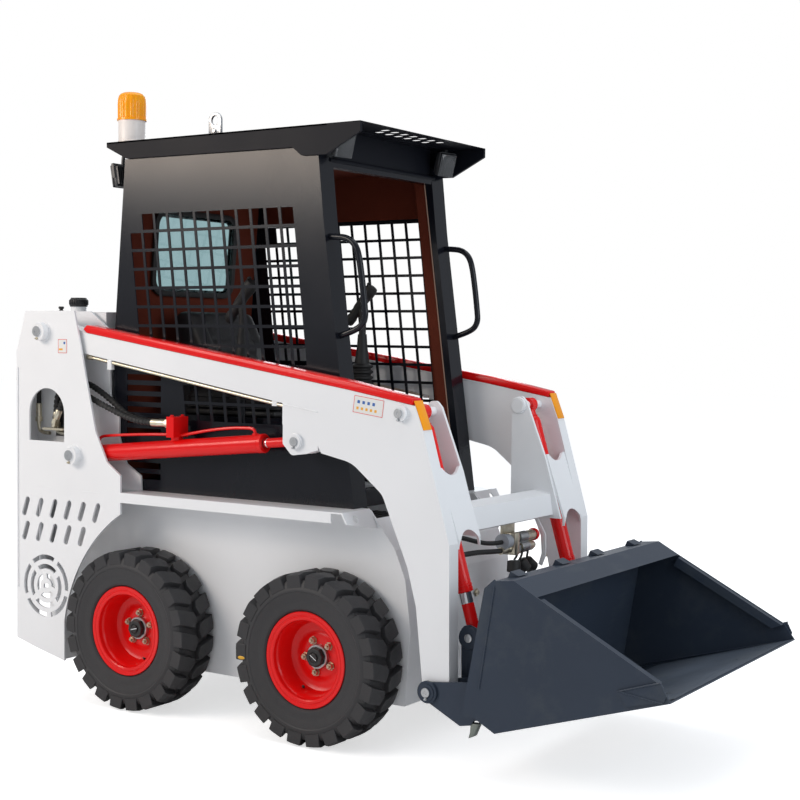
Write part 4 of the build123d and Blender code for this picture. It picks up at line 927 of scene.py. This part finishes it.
def cut_away(thing, cutter):
    """Take one mesh out of another."""
    modified(thing, "BOOLEAN", operation="DIFFERENCE", object=cutter)
    bpy.data.objects.remove(cutter)
    return thing


roof_half, roof_top = 412, 2095
slot_pitch = 59.5
slots = []
for x, count in ((466, 7), (422, 6)):
    for number in range(count):
        y = (number - (count - 1) / 2) * slot_pitch
        slots.append(boxed("slot", (x, y - 14, 2080), (x + 35, y + 14, 2105), 5, 3))
visor_sheet = boxed("visor_sheet", (404, -roof_half, 2093), (541, roof_half, roof_top))
skirt = [(-616, roof_top), (541, roof_top), (541, 2061), (401, 1992), (297, 1994), (258, 2024), (-516, 2030),
         (-616, 2077)]
roof_parts = [
    boxed("roof_sheet", (-616, -roof_half, 2089), (404, roof_half, roof_top)),
    cut_away(visor_sheet, joined("slots", slots)),
    sawn("roof_skirt", skirt, -roof_half, -400.4),
    sawn("roof_skirt", skirt, 400.4, roof_half),
    boxed("rear_drop", (-573, -400, 2055), (-567, 400, 2094)),
    boxed("header_plate", (350, -318, 1986), (354, 318, 2089)),
    piped("header_roll", spaced((358, -335, 1984), (358, 335, 1984), 110), 9, 4, even),
]
roof_paint = painted("roof_paint", (0.007, 0.008, 0.012), 0.42, 0.08, 0.06, 0.0, specular=0.10,
                     slot="cab_paint")
fitted("cab_roof_fine", roof_parts, "chassis", roof_paint, ("cab_roof",), angle=24)
nodes["engine_hood"].data.materials.clear()
nodes["engine_hood"].data.materials.append(cab_paint)

# Lifting eyes: zinc-plated plates with rounded heads, bolted and welded to the roof and
# drilled for a shackle.

eye_x, eye_y, eye_z, eye_radius = -120, -370, 2147, 28.8
eye_outline = [(eye_x - eye_radius, 2095.5)]
for step in range(17):
    angle = math.radians(180 - 180 * step / 16)
    eye_outline.append((eye_x + eye_radius * math.cos(angle), eye_z + eye_radius * math.sin(angle)))
eye_outline.append((eye_x + eye_radius, 2095.5))
eye_bore = begin("bore", bpy.ops.mesh.primitive_cylinder_add, vertices=32, radius=0.0168, depth=0.05,
                 location=mm(eye_x, eye_y, eye_z), rotation=(math.pi / 2, 0, 0))
eye_plate = cut_away(sawn("eye_plate", eye_outline, eye_y - 5, eye_y + 5), eye_bore)
softened(eye_plate, 1.2, 2, 40)
eye_bolt = bolts([(eye_x, eye_y - 5, 2109)], outward, 0.9)
eye_weld = weld_line((eye_x - 28, eye_y - 6, 2096.5), (eye_x + 28, eye_y - 6, 2096.5), 3.0)
on_both_sides("lifting_eye", [eye_plate, eye_bolt, eye_weld], "chassis", bare_steel)

# Work lamps: die-cast housings with cooling fins, a chromed cup for each light behind a clear
# lens, hung on a strap from the roof; the rear one hangs on a bent rod.

lens_clear, lens_tree, lens_shader = finish_of("lamp_lens", "lamp_glass", 0.04)
lens_tint = remapped(lens_tree, (noise(lens_tree, 60.0, 2.0), "Fac"), 0.3, 0.7, 0.86, 0.96)
linked(lens_tree, lens_shader, {"Transmission Weight": 1.0, "IOR": 1.3, "Base Color": (lens_tint, "Result")})
die_cast = painted("die_cast", (0.040, 0.042, 0.046), 0.40, 0.10, 0.20, 0.05, coat=0.1, slot="black_plastic")
lamp_silver = painted("lamp_silver", (0.80, 0.81, 0.82), 0.30, 0.05, 0.25, 0.0, coat=0.3, slot="hard_chrome")
cup_steps = ((10, 0), (10, 6), (8.5, 6), (5.5, 3), (3, 2))
# place across and up, and size, of each light: two rows of three and two larger ones below
cup_places = [(y, z, 1) for z in (26, 4) for y in (-22, 0, 22)] + [(-14, -22, 1.3), (14, -22, 1.3)]


def work_lamp(place, facing, nod):
    """Lamp built about its own middle, facing +X, then turned and put in place: housing, cups and lens."""
    housing = [boxed("housing", (-10, -38, -41), (8, 38, 41), 5, 3)]
    housing.append(boxed("rim", (8, -39, -42), (15, 39, 42), 2.5))
    for y in range(-33, 34, 11):
        housing.append(boxed("fin", (-19, y - 1.6, -34), (-9, y + 1.6, 34), 0.8, 1))
    for low_y, high_y, foot in ((-41.5, -38.5, -8), (38.5, 41.5, -8), (-41.5, 41.5, 44)):
        housing.append(boxed("strap", (-6, low_y, foot), (6, high_y, 47), 0.8, 1))
    cups = []
    for y, z, size in cup_places:
        cup = turned("cup", cup_steps, 20)
        cup.scale = (size, size, 0.9)
        set_in_mesh()
        cups.append(aimed(cup, mm(8.5, y, z), (1, 0, 0)))
    lens = boxed("lens", (15.2, -35, -38), (17.5, 35, 38), 0.9)
    turn = Matrix.Rotation(math.radians(facing), 4, "Z") @ Matrix.Rotation(math.radians(nod), 4, "Y")
    hung = Matrix.Translation(mm(*place)) @ turn
    return [carried(thing, hung) for thing in (joined("housing", housing), joined("cups", cups), lens)]


lamps = (((414, -332, 2032), -14, 17), ((414, 328, 2032), -14, 17), ((-614, -336, 1976), 180, 10))
housings, cups, lenses = zip(*[work_lamp(*lamp_setting) for lamp_setting in lamps])
hook_route = ((-606, 2019), (-606, 2040), (-600, 2058), (-598, 2075), (-598, 2089))
hook = piped("hook", [(x, -336, z) for x, z in hook_route], 7)
stems = [boxed("stem", (408, y - 8, 2080), (420, y + 8, 2088.8), 1) for y in (-330, 330)]
fitted("lamp_housings_fine", [*housings, hook, *stems], "chassis", die_cast, ("work_lamps",))
fitted("lamp_cups_fine", cups, "chassis", lamp_silver)
fitted("lamp_lenses_fine", lenses, "chassis", lens_clear).visible_shadow = False

# Beacon: a white moulded base screwed to the roof and an amber dome with upright prisms
# inside its wall, moulded as one cup with a rounded top.

beacon_place = mm(-547, -350, 2095.3)
base_steps = ((52, 0), (52, 6), (49.5, 8), (50, 70), (51, 76), (51, 82))
dome_steps = ((55, 0), (55, 7), (52.5, 8.5), (53, 60), (51.5, 80), (48, 92), (42, 99), (34, 103), (18, 104.2),
              (6, 104.4))
dome_sides = 72
prism_depth = 0.955
beacon_white = painted("beacon_white", (0.86, 0.80, 0.76), 0.34, 0.04, 0.06, 0.05, slot="white_paint")
amber_dome = painted("amber_dome", (1.0, 0.37, 0.004), 0.16, 0.05, 0.02, 0.0, specular=0.3,
                     slot="amber_plastic")
linked(amber_dome.node_tree, amber_dome.node_tree.nodes["Principled BSDF"],
       {"Subsurface Weight": 0.35, "Subsurface Radius": (0.03, 0.012, 0.002)})
beacon_base = turned("beacon_base", base_steps, 48, beacon_place)
fitted("beacon_base_fine", [beacon_base], "chassis", beacon_white, ("beacon",))
beacon_dome = turned("beacon_dome", dome_steps, dome_sides)
for vertex in beacon_dome.data.vertices:
    x, y, z = vertex.co
    if 0.008 < z < 0.085 and round(math.atan2(y, x) / math.tau * dome_sides) % 4 in (0, 1):
        vertex.co = (x * prism_depth, y * prism_depth, z)
aimed(beacon_dome, beacon_place + Vector((0, 0, 0.0823)), (0, 0, 1))
fitted("beacon_dome_fine", [beacon_dome], "chassis", amber_dome, angle=24)

# Seat: foam cushions under stitched black vinyl on a moulded pan. Each cushion is a closed
# block with its edges rounded off, remeshed, then crowned and drawn in along its seams by
# moving vertices; two welts run round the cushion and two steel plates hold the back.

foam_cell = 0.0075
seam_width = 7


def groove(distance, width=seam_width):
    """Depth from 0 to 1 of a stitched channel, or height of a roll, at a distance from its line."""
    return math.exp(-(distance / width) ** 2)


def in_mm(point):
    """A vertex's place in millimetres, X counted from midway between the axles."""
    return (point.x - wheelbase_middle) * 1000, point.y * 1000, point.z * 1000


def padding(name, thing, replaces=()):
    modified(thing, "SMOOTH", factor=0.5, iterations=2)
    fitted(name, [thing], "chassis", seat_vinyl, replaces, angle=60)


cushion = boxed("cushion", (-404, -212, 1098), (32, 212, 1182), 36, 4)
modified(cushion, "REMESH", mode="VOXEL", voxel_size=foam_cell)
for vertex in cushion.data.vertices:
    x, y, z = in_mm(vertex.co)
    if vertex.co.z > 1.150:
        rise = 7 * (1 - (y / 212) ** 4) * (1 - ((x + 186) / 218) ** 4)
        rise += 9 * groove(abs(y) - 172, 30)
        if abs(y) < 140:
            rise -= 6 * max(groove(x - line) for line in (-290, -205, -120, -35))
        rise -= 8 * groove(abs(y) - 142)
        rise *= min(1, max(0, (x + 400) / 60))
        vertex.co.z += rise / 1000
padding("seat_cushion_fine", cushion, ("seat",))

back_outline = [(-438, 1104), (-398, 1104), (-314, 1192), (-330, 1332), (-402, 1466), (-468, 1472),
                (-496, 1432), (-452, 1255)]
backrest = sawn("backrest", back_outline, -184, 184)
softened(backrest, 26, 4, 15)
modified(backrest, "REMESH", mode="VOXEL", voxel_size=foam_cell)
for vertex in backrest.data.vertices:
    x, y, z = in_mm(vertex.co)
    front_x = -314 - 16 * (z - 1192) / 140 if z < 1332 else -330 - 72 * (z - 1332) / 134
    if x > front_x - 26:
        bulge = 6 * (1 - (y / 184) ** 4) + 10 * groove(abs(y) - 152, 24)
        if abs(y) < 120:
            bulge -= 7 * max(groove(z - line) for line in (1245, 1305, 1365, 1420))
        bulge -= 8 * groove(abs(y) - 124)
        vertex.co.x += bulge * min(1, max(0, (x - front_x + 26) / 22)) / 1000
padding("seat_back_fine", backrest)

vinyl_welt = painted("vinyl_welt", (0.020, 0.020, 0.021), 0.40, 0.05, 0.15, 0.0, slot="seat_cover")
welts = []
for z in (1112, 1150):
    loop = [(across - 186, up, z) for across, up in rounded(218.5, -212.5, 212.5, 36)]
    welts.append(piped("welt", loop, 3.2, 2, even, True))
fitted("seat_welts_fine", welts, "chassis", vinyl_welt)
hinge_outline = [(-460, 1086), (-380, 1086), (-372, 1120), (-410, 1200), (-432, 1330), (-452, 1330)]
seat_pan = boxed("seat_pan", (-410, -205, 1080.6), (24, 205, 1104), 8, 3)
back_plates = [sawn("back_plate", hinge_outline, low, low + 5) for low in (-191, 186)]
seat_frame = joined("seat_frame", [seat_pan, *back_plates])
softened(seat_frame, 1.2, 1, 40)
fitted("seat_frame_fine", [seat_frame], "chassis", black_plastic)

# Floor: a moulded rubber mat with cross ribs lies loose on the plate ahead of the seat box,
# from post to post.

mat = [boxed("mat", (30, -322, 695.4), (600, 322, 699), 1.5)]
mat += [boxed("rib", (x, -310, 698.5), (x + 14, 310, 702), 1.4) for x in range(48, 543, 38)]
fitted("floor_mat_fine", mat, "chassis", soft_rubber)

# Control levers: a steel post on a round foot, a pleated rubber gaiter, a stick and a
# moulded grip that leans forward, with a thumb button and a finger ridge.

gaiter_steps = [(44, 0), (46, 6)]
for pleat in range(5):
    wide, low = 46.5 - pleat * 0.8, 6 + pleat * 22.5
    gaiter_steps += [(wide - 8.5, low + 6), (wide - 8.5, low + 9.5), (wide, low + 17), (wide, low + 22.5)]
gaiter_steps += [(30, 126), (21, 190), (17.5, 240)]
grip_steps = ((15, 0), (18.5, 6), (20.5, 30), (18, 40), (20.5, 52), (18, 64), (20, 76), (19.5, 118),
              (24.5, 148), (25.5, 168), (22, 180), (12, 184))
button_steps = ((8, 0), (8, 6), (6, 8))
foot_steps = ((42, 0), (42, 6), (30, 8), (16, 30))
lever_parts, lever_posts = [], []
for x, y in ((-50, -297.7), (62, 297.7)):
    lever_parts.append(turned("gaiter", gaiter_steps, 28, mm(x, y, 1150)))
    stick_route = [(x, y, 1380), (x, y, 1410), (x + 2, y, 1450), (x - 8, y, 1500)]
    lever_parts.append(piped("stick", stick_route, 14, 4))
    lever_parts.append(turned("grip", grip_steps, 24, mm(x - 68, y, 1432), (112, 0, 138)))
    lever_parts.append(turned("thumb_button", button_steps, 16, mm(x + 30, y, 1583), (-0.5, 0, 1)))
    lever_posts.append(turned("lever_foot", foot_steps, 28, mm(x, y, 695.3)))
    lever_posts.append(turned("lever_post", ((11.8, 0), (11.8, 430)), 16, mm(x, y, 724)))
fitted("control_levers_fine", lever_parts, "chassis", soft_rubber, ("control_levers",), angle=40)
fitted("lever_posts_fine", lever_posts, "chassis", cab_paint)

# Lift arms: welded box sections, white with red rails. Steel pin ends with grease nipples,
# beads of weld along the rails, cheeks and beam, reflectors on the legs, and plated pipes
# in saddles under each arm and down the back of the leg.

tilt_base, lift_tip = (768, 1136), (346, 1025)         # pins of the tilt cylinder and the lift rod's eye
small_pin_steps = ((15.5, 0), (15.5, 3), (14, 4.5), (6, 4.5), (4.5, 3))
arm_pins = []
for (x, z), pin_face, nipple_face, drop in ((tilt_base, 510.5, 507.5, 21), (lift_tip, 507.5, 505.5, 20)):
    arm_pins.append(turned("arm_pin", small_pin_steps, 24, mm(x, -pin_face, z), outward))
    arm_pins.append(turned("nipple", nipple_steps, 6, mm(x, -nipple_face, z - drop), outward))
on_both_sides("arm_pin_ends", arm_pins, "lift_arm", bare_steel)
arm_welds = [weld_ring((tilt_base[0], -493, tilt_base[1]), 27.5, 2.8)]
arm_welds.append(weld_ring((lift_tip[0], -501, lift_tip[1]), 26.5, 2.6))
for start, end, bead in (
    ((-630, -437, 1380), (560, -437, 1203), 2.8),
    ((290, -493.5, 1150), (434, -493.5, 1128), 2.6),
    ((770, -300.5, 742), (770, -300.5, 820), 3.0),
    ((840, -286, 832.5), (902, -286, 821), 3.0),
    ((875, -438, 960), (951, -438, 740), 2.6),
):
    arm_welds.append(weld_line(start, end, bead))
on_both_sides("arm_welds", arm_welds, "lift_arm", white_paint)

lens_amber = painted("reflector_amber", (0.98, 0.36, 0.008), 0.26, 0.10, 0.20, 0.02, specular=0.25,
                     slot="amber_plastic")
leg_lean = math.atan2(30, 76)
on_leg = Matrix.Translation(mm(833.5, 0, 1131)) @ Matrix.Rotation(-leg_lean, 4, "Y")
leg_reflector = carried(boxed("leg_reflector", (-2, -489, -50), (2.2, -441, 50), 1.6), on_leg)
on_both_sides("leg_reflector", [leg_reflector], "lift_arm", lens_amber)


def on_line(base, tip, y, distance):
    """Point at a distance from one side-view point toward another, in the plane at y."""
    part = distance / math.dist(base, tip)
    return base[0] + (tip[0] - base[0]) * part, y, base[1] + (tip[1] - base[1]) * part


pipe_rear, pipe_front, pipe_y = (-646, 1295.5), (284, 1143), -480
union_steps = ((10.5, 0), (10.5, 14), (8.5, 16), (8.5, 28))
clips = []
for distance, drop in ((120, 28), (905, 8)):
    x, y, z = on_line(pipe_rear, pipe_front, pipe_y, distance)
    clips.append(boxed("clip", (x - 11, -488, z - drop), (x + 11, -471, z + 12), 2))
on_both_sides("pipe_clips", clips, "lift_arm", white_paint)
pipe_ends = [(x, pipe_y, z) for x, z in (pipe_rear, pipe_front)]
arm_pipe = joined("arm_pipe", [
    piped("arm_pipe", spaced(*pipe_ends, 150), 6.2, 4, even),
    turned("union", union_steps, 6, mm(-645, pipe_y, 1295.5), (1, 0, -0.164)),
])
both_pipes = [arm_pipe, copied(arm_pipe, "arm_pipe", mirror_y)]
fitted("arm_pipes_fine", both_pipes, "lift_arm", zinc_plate, ("arm_pipes",))
leg_route = [(690, 867), (742, 760), (788, 638), (811, 572), (823, 514), (830, 455)]
leg_pipe = [piped("leg_pipe", [(x, -458, z) for x, z in leg_route], 5.5)]
for x, z in (leg_route[1], leg_route[3]):
    leg_pipe.append(boxed("clip", (x - 8, -468, z - 8), (x + 12, -448, z + 8), 2))
on_both_sides("leg_pipe", leg_pipe, "lift_arm", zinc_plate)

# Rails: flat steel bar with rounded edges, welded along the top of each arm from the tower
# over the knee, and painted red.

rail_corners = [(-658, 1397), (-640, 1413), (560, 1235), (811, 1184.8), (811, 1163), (560, 1205.3),
                (-640, 1383.3)]
rail = sawn("arm_rail", rail_corners, -494, -437)
softened(rail, 5, 3, 20)
fitted("arm_rails_fine", [rail, copied(rail, "arm_rail", mirror_y)], "lift_arm", red_paint, ("arm_rails",))

# Inboard ends of the tilt cylinders' upper pins: dark pins in turned collars, painted white,
# that are pressed into the inner leg plates.

collar_steps = ((30, 0), (30, 6), (28.5, 7.5), (20, 7.5), (19.5, 3), (6, 2.6))
inner_pin_steps = ((17.5, 0), (17.5, 6), (16, 7.2), (6, 7.2))
inner_collar = turned("inner_collar", collar_steps, 32, mm(tilt_base[0], -288.3, tilt_base[1]), (0, 1, 0))
on_both_sides("inner_collars", [inner_collar], "lift_arm", white_paint)
inner_pin = turned("inner_pin", inner_pin_steps, 28, mm(tilt_base[0], -287, tilt_base[1]), (0, 1, 0))
on_both_sides("inner_pins", [inner_pin], "lift_arm", engine_iron, "zinc_steel")

# Hydraulic couplers under the beam: knurled steel sleeves with locking rings, a red dust
# cap on the upper one, held in a zinc block, and a rubber cone over the hose joint.

coupler_x = 862
knurl_steps = [(20.5, 0), (21.5, 1)]
for start in range(4, 45, 5):
    knurl_steps += [(20.5, start), (19, start + 1), (19, start + 2), (20.5, start + 3)]
knurl_steps += [(20.5, 56), (17, 58), (16.5, 70), (18.5, 71), (18.5, 78), (15, 80)]
dust_cap_steps = ((21.5, 0), (22.5, 1.5), (22.5, 12), (20.5, 14), (20, 19), (12, 20))
cone_steps = ((18, 0), (25, 4), (24, 16), (26.5, 19), (25.5, 34), (28.5, 37), (28.5, 48), (18, 50))
hexagon_steps = ((18, 0), (18, 20), (16.5, 21.5))
hanging_cap_steps = ((15, 0), (24, 4), (25, 40), (21, 42), (20, 30))
sleeves = []
for z, start in ((676, 118), (640, 132)):
    sleeves.append(turned("sleeve", knurl_steps, 32, mm(coupler_x, start, z), (0, 1, 0)))
    sleeves.append(turned("hexagon", hexagon_steps, 6, mm(coupler_x, start - 28, z), (0, 1, 0)))
fitted("coupler_sleeves_fine", sleeves, "lift_arm", bare_steel)
fitted("coupler_block_fine", [boxed("block", (838, 58, 622), (888, 92, 700), 3)], "lift_arm", zinc_plate)
dust_cap = turned("dust_cap", dust_cap_steps, 32, mm(coupler_x, 232, 676), (0, 1, 0))
fitted("dust_cap_fine", [dust_cap], "lift_arm", red_paint)
boot_grey = painted("boot_grey", (0.36, 0.38, 0.42), 0.5, 0.10, 0.20, 0.15, slot="black_rubber")
rubber_cone = turned("cone", cone_steps, 28, mm(coupler_x, 58, 672), outward)
fitted("coupler_cone_fine", [rubber_cone], "lift_arm", boot_grey)
lower_feed = [(862, 60, 640), (862, 0, 642), (862, -90, 650), (862, -180, 658), (862, -284, 660)]
upper_feed = [(862, 10, 672), (862, -60, 674), (858, -150, 690), (850, -230, 712), (846, -284, 722)]
coupler_pipes = [piped("feed_pipe", lower_feed, 9), piped("feed_pipe", upper_feed, 8)]
for x, y, z, along in (
    (868, 128, 596, (0.3, 0.35, -0.7)), (872, 170, 588, (0.2, 0.7, -0.6)), (866, 92, 600, (0.1, -0.2, -1)),
):
    strap_route = [(862, y - 6, 650), (880, y, 632), (876, y, 612), (x, y, z + 2)]
    coupler_pipes.append(turned("hanging_cap", hanging_cap_steps, 20, mm(x, y, z), along))
    coupler_pipes.append(piped("cap_strap", strap_route, 4, 2))
fitted("coupler_pipes_fine", coupler_pipes, "lift_arm", soft_rubber)
feed_collars = [
    turned("feed_collar", ((13, 0), (13, 50), (15, 52), (15, 64)), 20, mm(coupler_x, 0, 642), (0, 1, 0)),
    turned("feed_nut", ((17, 0), (17, 18)), 6, mm(coupler_x, 40, 672), (0, 1, 0)),
]
fitted("feed_collars_fine", feed_collars, "lift_arm", zinc_plate)
tab_outline = [(852, 732), (868, 732), (900, 676), (902, 600), (886, 560), (872, 566), (884, 606), (880, 670)]
guide_tab = sawn("guide_tab", tab_outline, 262, 268)
softened(guide_tab, 1.5, 2, 40)
fitted("guide_tab_fine", [guide_tab], "lift_arm", white_paint)

# Cylinders: red barrels with a screwed gland and a black wiper where the chromed rod comes
# out, a bead of weld round the foot; the rods end in red sleeves and eyes. Steel pipes run
# along each lift barrel from a block whose ports take two plated fittings.

lift_y, tilt_y = -464.5, -368.5
tilt_tip = (982, 421)
sleeve_start = 14             # from the barrel's mouth to the sleeve on the rod
shine_start = 2.8             # from the barrel's mouth to the bare chrome of the rod
for kind, base, tip, reach, y, bore, shaft, sleeve_wide, sleeve_long, eye, width, neck, shine_long in (
    ("lift", lift_base, lift_tip, 872.7, lift_y, 32, 13, 16, 118, 30, 38, 84, 15),
    ("tilt", tilt_base, tilt_tip, 600.3, tilt_y, 27, 15, 20, 110, 26, 38, 66, 36),
):
    along = Vector(on_line(base, tip, 0, 1)) - Vector(on_line(base, tip, 0, 0))
    barrel, rod = kind + "_barrel_{}", kind + "_rod_{}"

    ring, land = bore + 1.6, bore + 0.6
    gland_steps = ((bore, 0), (ring, 1.2), (ring, 9), (land, 10), (land, 12), (ring, 13), (ring, 25),
                   (bore - 0.4, 27.2), (bore * 0.72, 27.2), (bore * 0.70, 25.5))
    gland = turned("gland", gland_steps, 40, mm(*on_line(base, tip, y, reach - 25)), along)
    foot_weld = weld_ring((0, 0, 0), bore * 0.66, 3.2, "yz", 28)
    foot_turn = along.to_track_quat("X", "Y").to_matrix().to_4x4()
    carried(foot_weld, Matrix.Translation(mm(*on_line(base, tip, y, neck - bore * 0.80))) @ foot_turn)
    on_both_sides(f"{kind}_gland", [gland, foot_weld], barrel, red_paint)

    lip = shaft + 5
    wiper_steps = ((lip, 0), (lip, 1.2), (lip - 3, 2.4), (shaft + 0.6, 2.6))
    wiper = turned("wiper", wiper_steps, 32, mm(*on_line(base, tip, y, reach - 1)), along)
    on_both_sides(f"{kind}_wiper", [wiper], barrel, soft_rubber)

    skin = sleeve_wide + 0.7
    sleeve_steps = ((skin - 1.5, 0), (skin, 2), (skin, sleeve_long - 1), (skin - 1, sleeve_long))
    sleeve = turned("rod_sleeve", sleeve_steps, 32, mm(*on_line(base, tip, y, reach + sleeve_start)), along)
    outer = sleeve_wide + 1.3
    shine_steps = ((outer - 1, 0), (outer, 1), (outer, shine_long - 1), (outer - 1, shine_long))
    shine = turned("rod_shine", shine_steps, 36, mm(*on_line(base, tip, y, reach + shine_start)), along)
    on_both_sides(f"{kind}_rod_shine", [shine], rod, hard_chrome)

    rim, half, hole = eye + 0.7, width / 2 + 0.4, eye - 7
    eye_half = ((rim, half - 1.5), (rim - 1.5, half), (hole, half))
    eye_profile = [*[(radius, -across) for radius, across in reversed(eye_half)], *eye_half]
    eye_ring = spun("rod_eye", eye_profile, 40)
    eye_ring.data.transform(Matrix.Translation(mm(tip[0], y, tip[1])))
    on_both_sides(f"{kind}_rod_end", [sleeve, eye_ring], rod, red_paint)

pipe_routes = (
    ((-213, 1022), (-300, 1019), (-389, 1015), (-480, 1009), (-560, 1002), (-590, 998), (-602, 984),
     (-602, 962)),
    ((-213, 1017), (-150, 1028), (-60, 1045), (40, 1057), (115, 1060), (138, 1058), (147, 1047), (148, 1030)),
)
lift_pipes = [piped("lift_pipe", [(x, lift_y, z) for x, z in route], 5.5) for route in pipe_routes]
boss_steps = ((12, 0), (12, 13), (10, 15), (8, 15))
lift_pipes += [turned("boss", boss_steps, 24, mm(x, lift_y, z)) for x, z in ((-602, 958), (148, 1028))]
lift_pipes.append(bolts([(-213, -492, 1087), (-213, -437, 1087)], (0, 0, 1), 0.8))
on_both_sides("lift_pipes", lift_pipes, "lift_barrel_{}", red_paint)

fitting_steps = ((15, 0), (15, 18), (13.5, 19.5), (12.6, 19.5), (12.6, 48), (13.4, 50), (13.4, 84))
nut_on_fitting = ((16.5, 0), (16.5, 15), (15, 16.5))
port_fittings = []
for y, z in ((-446, 1061), (-484, 1062)):
    port_fittings.append(turned("fitting", fitting_steps, 24, mm(-231.5, y, z), (-1, 0, 0)))
    port_fittings.append(turned("nut", nut_on_fitting, 6, mm(-231.5, y, z), (-1, 0, 0), 20))
on_both_sides("port_fittings", port_fittings, "lift_barrel_{}", zinc_plate)

# Hoses: black rubber with a spiral guard moulded round it, crimped into plated fittings at
# the tower's ports and at each lift cylinder's block.

upper_route = (
    (-856, -438, 1080), (-856, -438, 1120), (-840, -438, 1159), (-809, -439, 1188), (-770, -440, 1203),
    (-725, -441, 1203.5), (-668, -442, 1188), (-612, -443, 1163), (-548, -444, 1126), (-486, -445, 1086),
    (-424, -446, 1069), (-370, -446, 1061), (-316, -446, 1061),
)
lower_route = (
    (-806, -470, 1090), (-791, -470, 1122), (-763, -470, 1148), (-727.5, -471, 1162), (-689, -473, 1162),
    (-575, -479, 1119), (-480, -483, 1088), (-415, -484, 1070), (-362, -484, 1062), (-316, -484, 1062),
)
hose_radius = 0.011
guard_pitch = 0.017
guard_share, guard_swell, guard_dip = 0.55, 1.07, 0.84
collar_steps = ((12.2, 0), (13.4, 1.5), (13.4, 33), (12.4, 35))


def hose_line(name, route, bevel):
    """Curve of one smooth spline along a hose's route."""
    line = bpy.data.curves.new(name, "CURVE")
    line.dimensions = "3D"
    line.bevel_depth = bevel
    line.bevel_resolution = 3
    line.resolution_u = 16
    spline = line.splines.new("NURBS")
    spline.points.add(len(route) - 1)
    for point, place in zip(spline.points, route):
        point.co = (*mm(*place), 1)
    spline.order_u = 3
    spline.use_endpoint_u = True
    made = bpy.data.objects.new(name, line)
    bpy.context.collection.objects.link(made)
    return made


for label, right_route in (("lift_hose_upper", upper_route), ("lift_hose_lower", lower_route)):
    for side, across in (("right", 1), ("left", -1)):
        route = [(x, y * across, z) for x, y, z in right_route]
        bare = hose_line("route", route, 0)
        path = [vertex.co.copy() for vertex in bpy.data.meshes.new_from_object(bare).vertices]
        bpy.data.objects.remove(bare)
        hose = hose_line(f"{label}_{side}_fine", route, hose_radius)
        alone(hose)
        bpy.ops.object.convert(target="MESH")
        hose = bpy.context.object
        around = round(len(hose.data.vertices) / len(path))
        reached = 0.0
        for number, middle in enumerate(path):
            if number:
                reached += (middle - path[number - 1]).length
            for step in range(around):
                vertex = hose.data.vertices[number * around + step]
                raised = (reached / guard_pitch + step / around) % 1 < guard_share
                vertex.co = middle + (vertex.co - middle) * (guard_swell if raised else guard_dip)
        hose.data.materials.append(soft_rubber)
        bpy.ops.object.shade_smooth_by_angle(angle=math.radians(26))
        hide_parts(f"{label}_{side}")
        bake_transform(hose)
collars = []
for route in (upper_route, lower_route):
    start, onward = mm(*route[0]), mm(*route[1])
    up = (onward - start).normalized()
    collars.append(turned("collar", collar_steps, 24, start - up * 0.036, up))
    collars.append(turned("nut", ((16, 0), (16, 17), (14.5, 18.5)), 6, start - up * 0.058, up, 12))
on_both_sides("port_collars", collars, "chassis", zinc_plate)

# Quick coupler and bucket: welded plate in slate grey. Pin ends with nipples, a latch wedge
# on each side, beads of weld along the side plates and their corner doublers, and a floor
# overlay painted brighter, partly rubbed wear streaks and partly painted light where the
# upturned floor catches the lamps.

coupler_pin = (891, 254)
tilt_pin_steps = ((13.8, 0), (13.8, 3), (12, 4), (5, 4))
on_both_sides("coupler_pin_ends", [
    turned("coupler_pin", small_pin_steps, 24, mm(coupler_pin[0], -522.5, coupler_pin[1]), outward),
    turned("tilt_pin", tilt_pin_steps, 20, mm(tilt_tip[0], -414, tilt_tip[1]), outward),
    turned("nipple", nipple_steps, 6, mm(coupler_pin[0], -519.5, coupler_pin[1] - 20.5), outward),
], "bucket", bare_steel)
wedge_steel = painted("wedge_steel", (0.20, 0.23, 0.21), 0.40, 0.15, 0.15, 0.2, 0.6, slot="zinc_steel")
wedge = sawn("wedge", [(1048, 176), (1078, 178), (1060, 136), (1040, 127), (1046, 148)], -506, -482)
softened(wedge, 2)
on_both_sides("latch_wedge", [wedge], "bucket", wedge_steel)
ear_boss_steps = ((36, 0), (36, 8), (34, 10), (27.5, 10))
lug_boss_steps = ((37, 0), (37, 6), (35, 8), (14.5, 8))
lug_outline = [(950, 446), (962, 458), (982, 463), (1004, 456), (1022, 438), (1060, 300), (953, 285)]
lug_plate = sawn("lug_plate", lug_outline, -406, -399)
softened(lug_plate, 1.5, 2, 40)
on_both_sides("coupler_bosses", [
    turned("ear_boss", ear_boss_steps, 36, mm(coupler_pin[0], -506.5, coupler_pin[1]), outward),
    turned("lug_boss", lug_boss_steps, 36, mm(tilt_tip[0], -406, tilt_tip[1]), outward),
    lug_plate,
], "bucket", bucket_paint)

# Lighter floor colour: partly rubbed wear, partly painted light on the upturned floor.
floor_wear_and_light_paint = painted("worn_floor", (0.120, 0.145, 0.185), 0.30, 0.20, 0.10, 0.02, 0.2, slot="bucket_paint")
scuffed(floor_wear_and_light_paint, (0.16, 0.18, 0.20), 0.6, (4.0, 34.0, 4.0), 0.25)
(rear_x, rear_z), (front_x, front_z) = [(x, 175.6 + 0.3101 * (x - 1156)) for x in (1240, 1724)]
skin = 0.7
floor_overlay_outline = [(rear_x, rear_z), (front_x, front_z), (front_x, front_z + skin), (rear_x, rear_z + skin)]
fitted("bucket_floor_wear_and_light_fine", [sawn("floor_wear_and_light", floor_overlay_outline, -505, 505)], "bucket", floor_wear_and_light_paint)
bucket_welds = [weld_line(start, end, 3.2) for start, end in (
    ((1572, -551.5, 362), (1700, -551.5, 404)),
    ((1572, -551.5, 362), (1706, -551.5, 346)),
    ((1100, -545.8, 300), (1150, -545.8, 622)),
    ((1170, -539, 190), (1690, -539, 338)),
    ((1164, -538, 640), (1280, -538, 600)),
)]
on_both_sides("bucket_welds", bucket_welds, "bucket", bucket_paint)
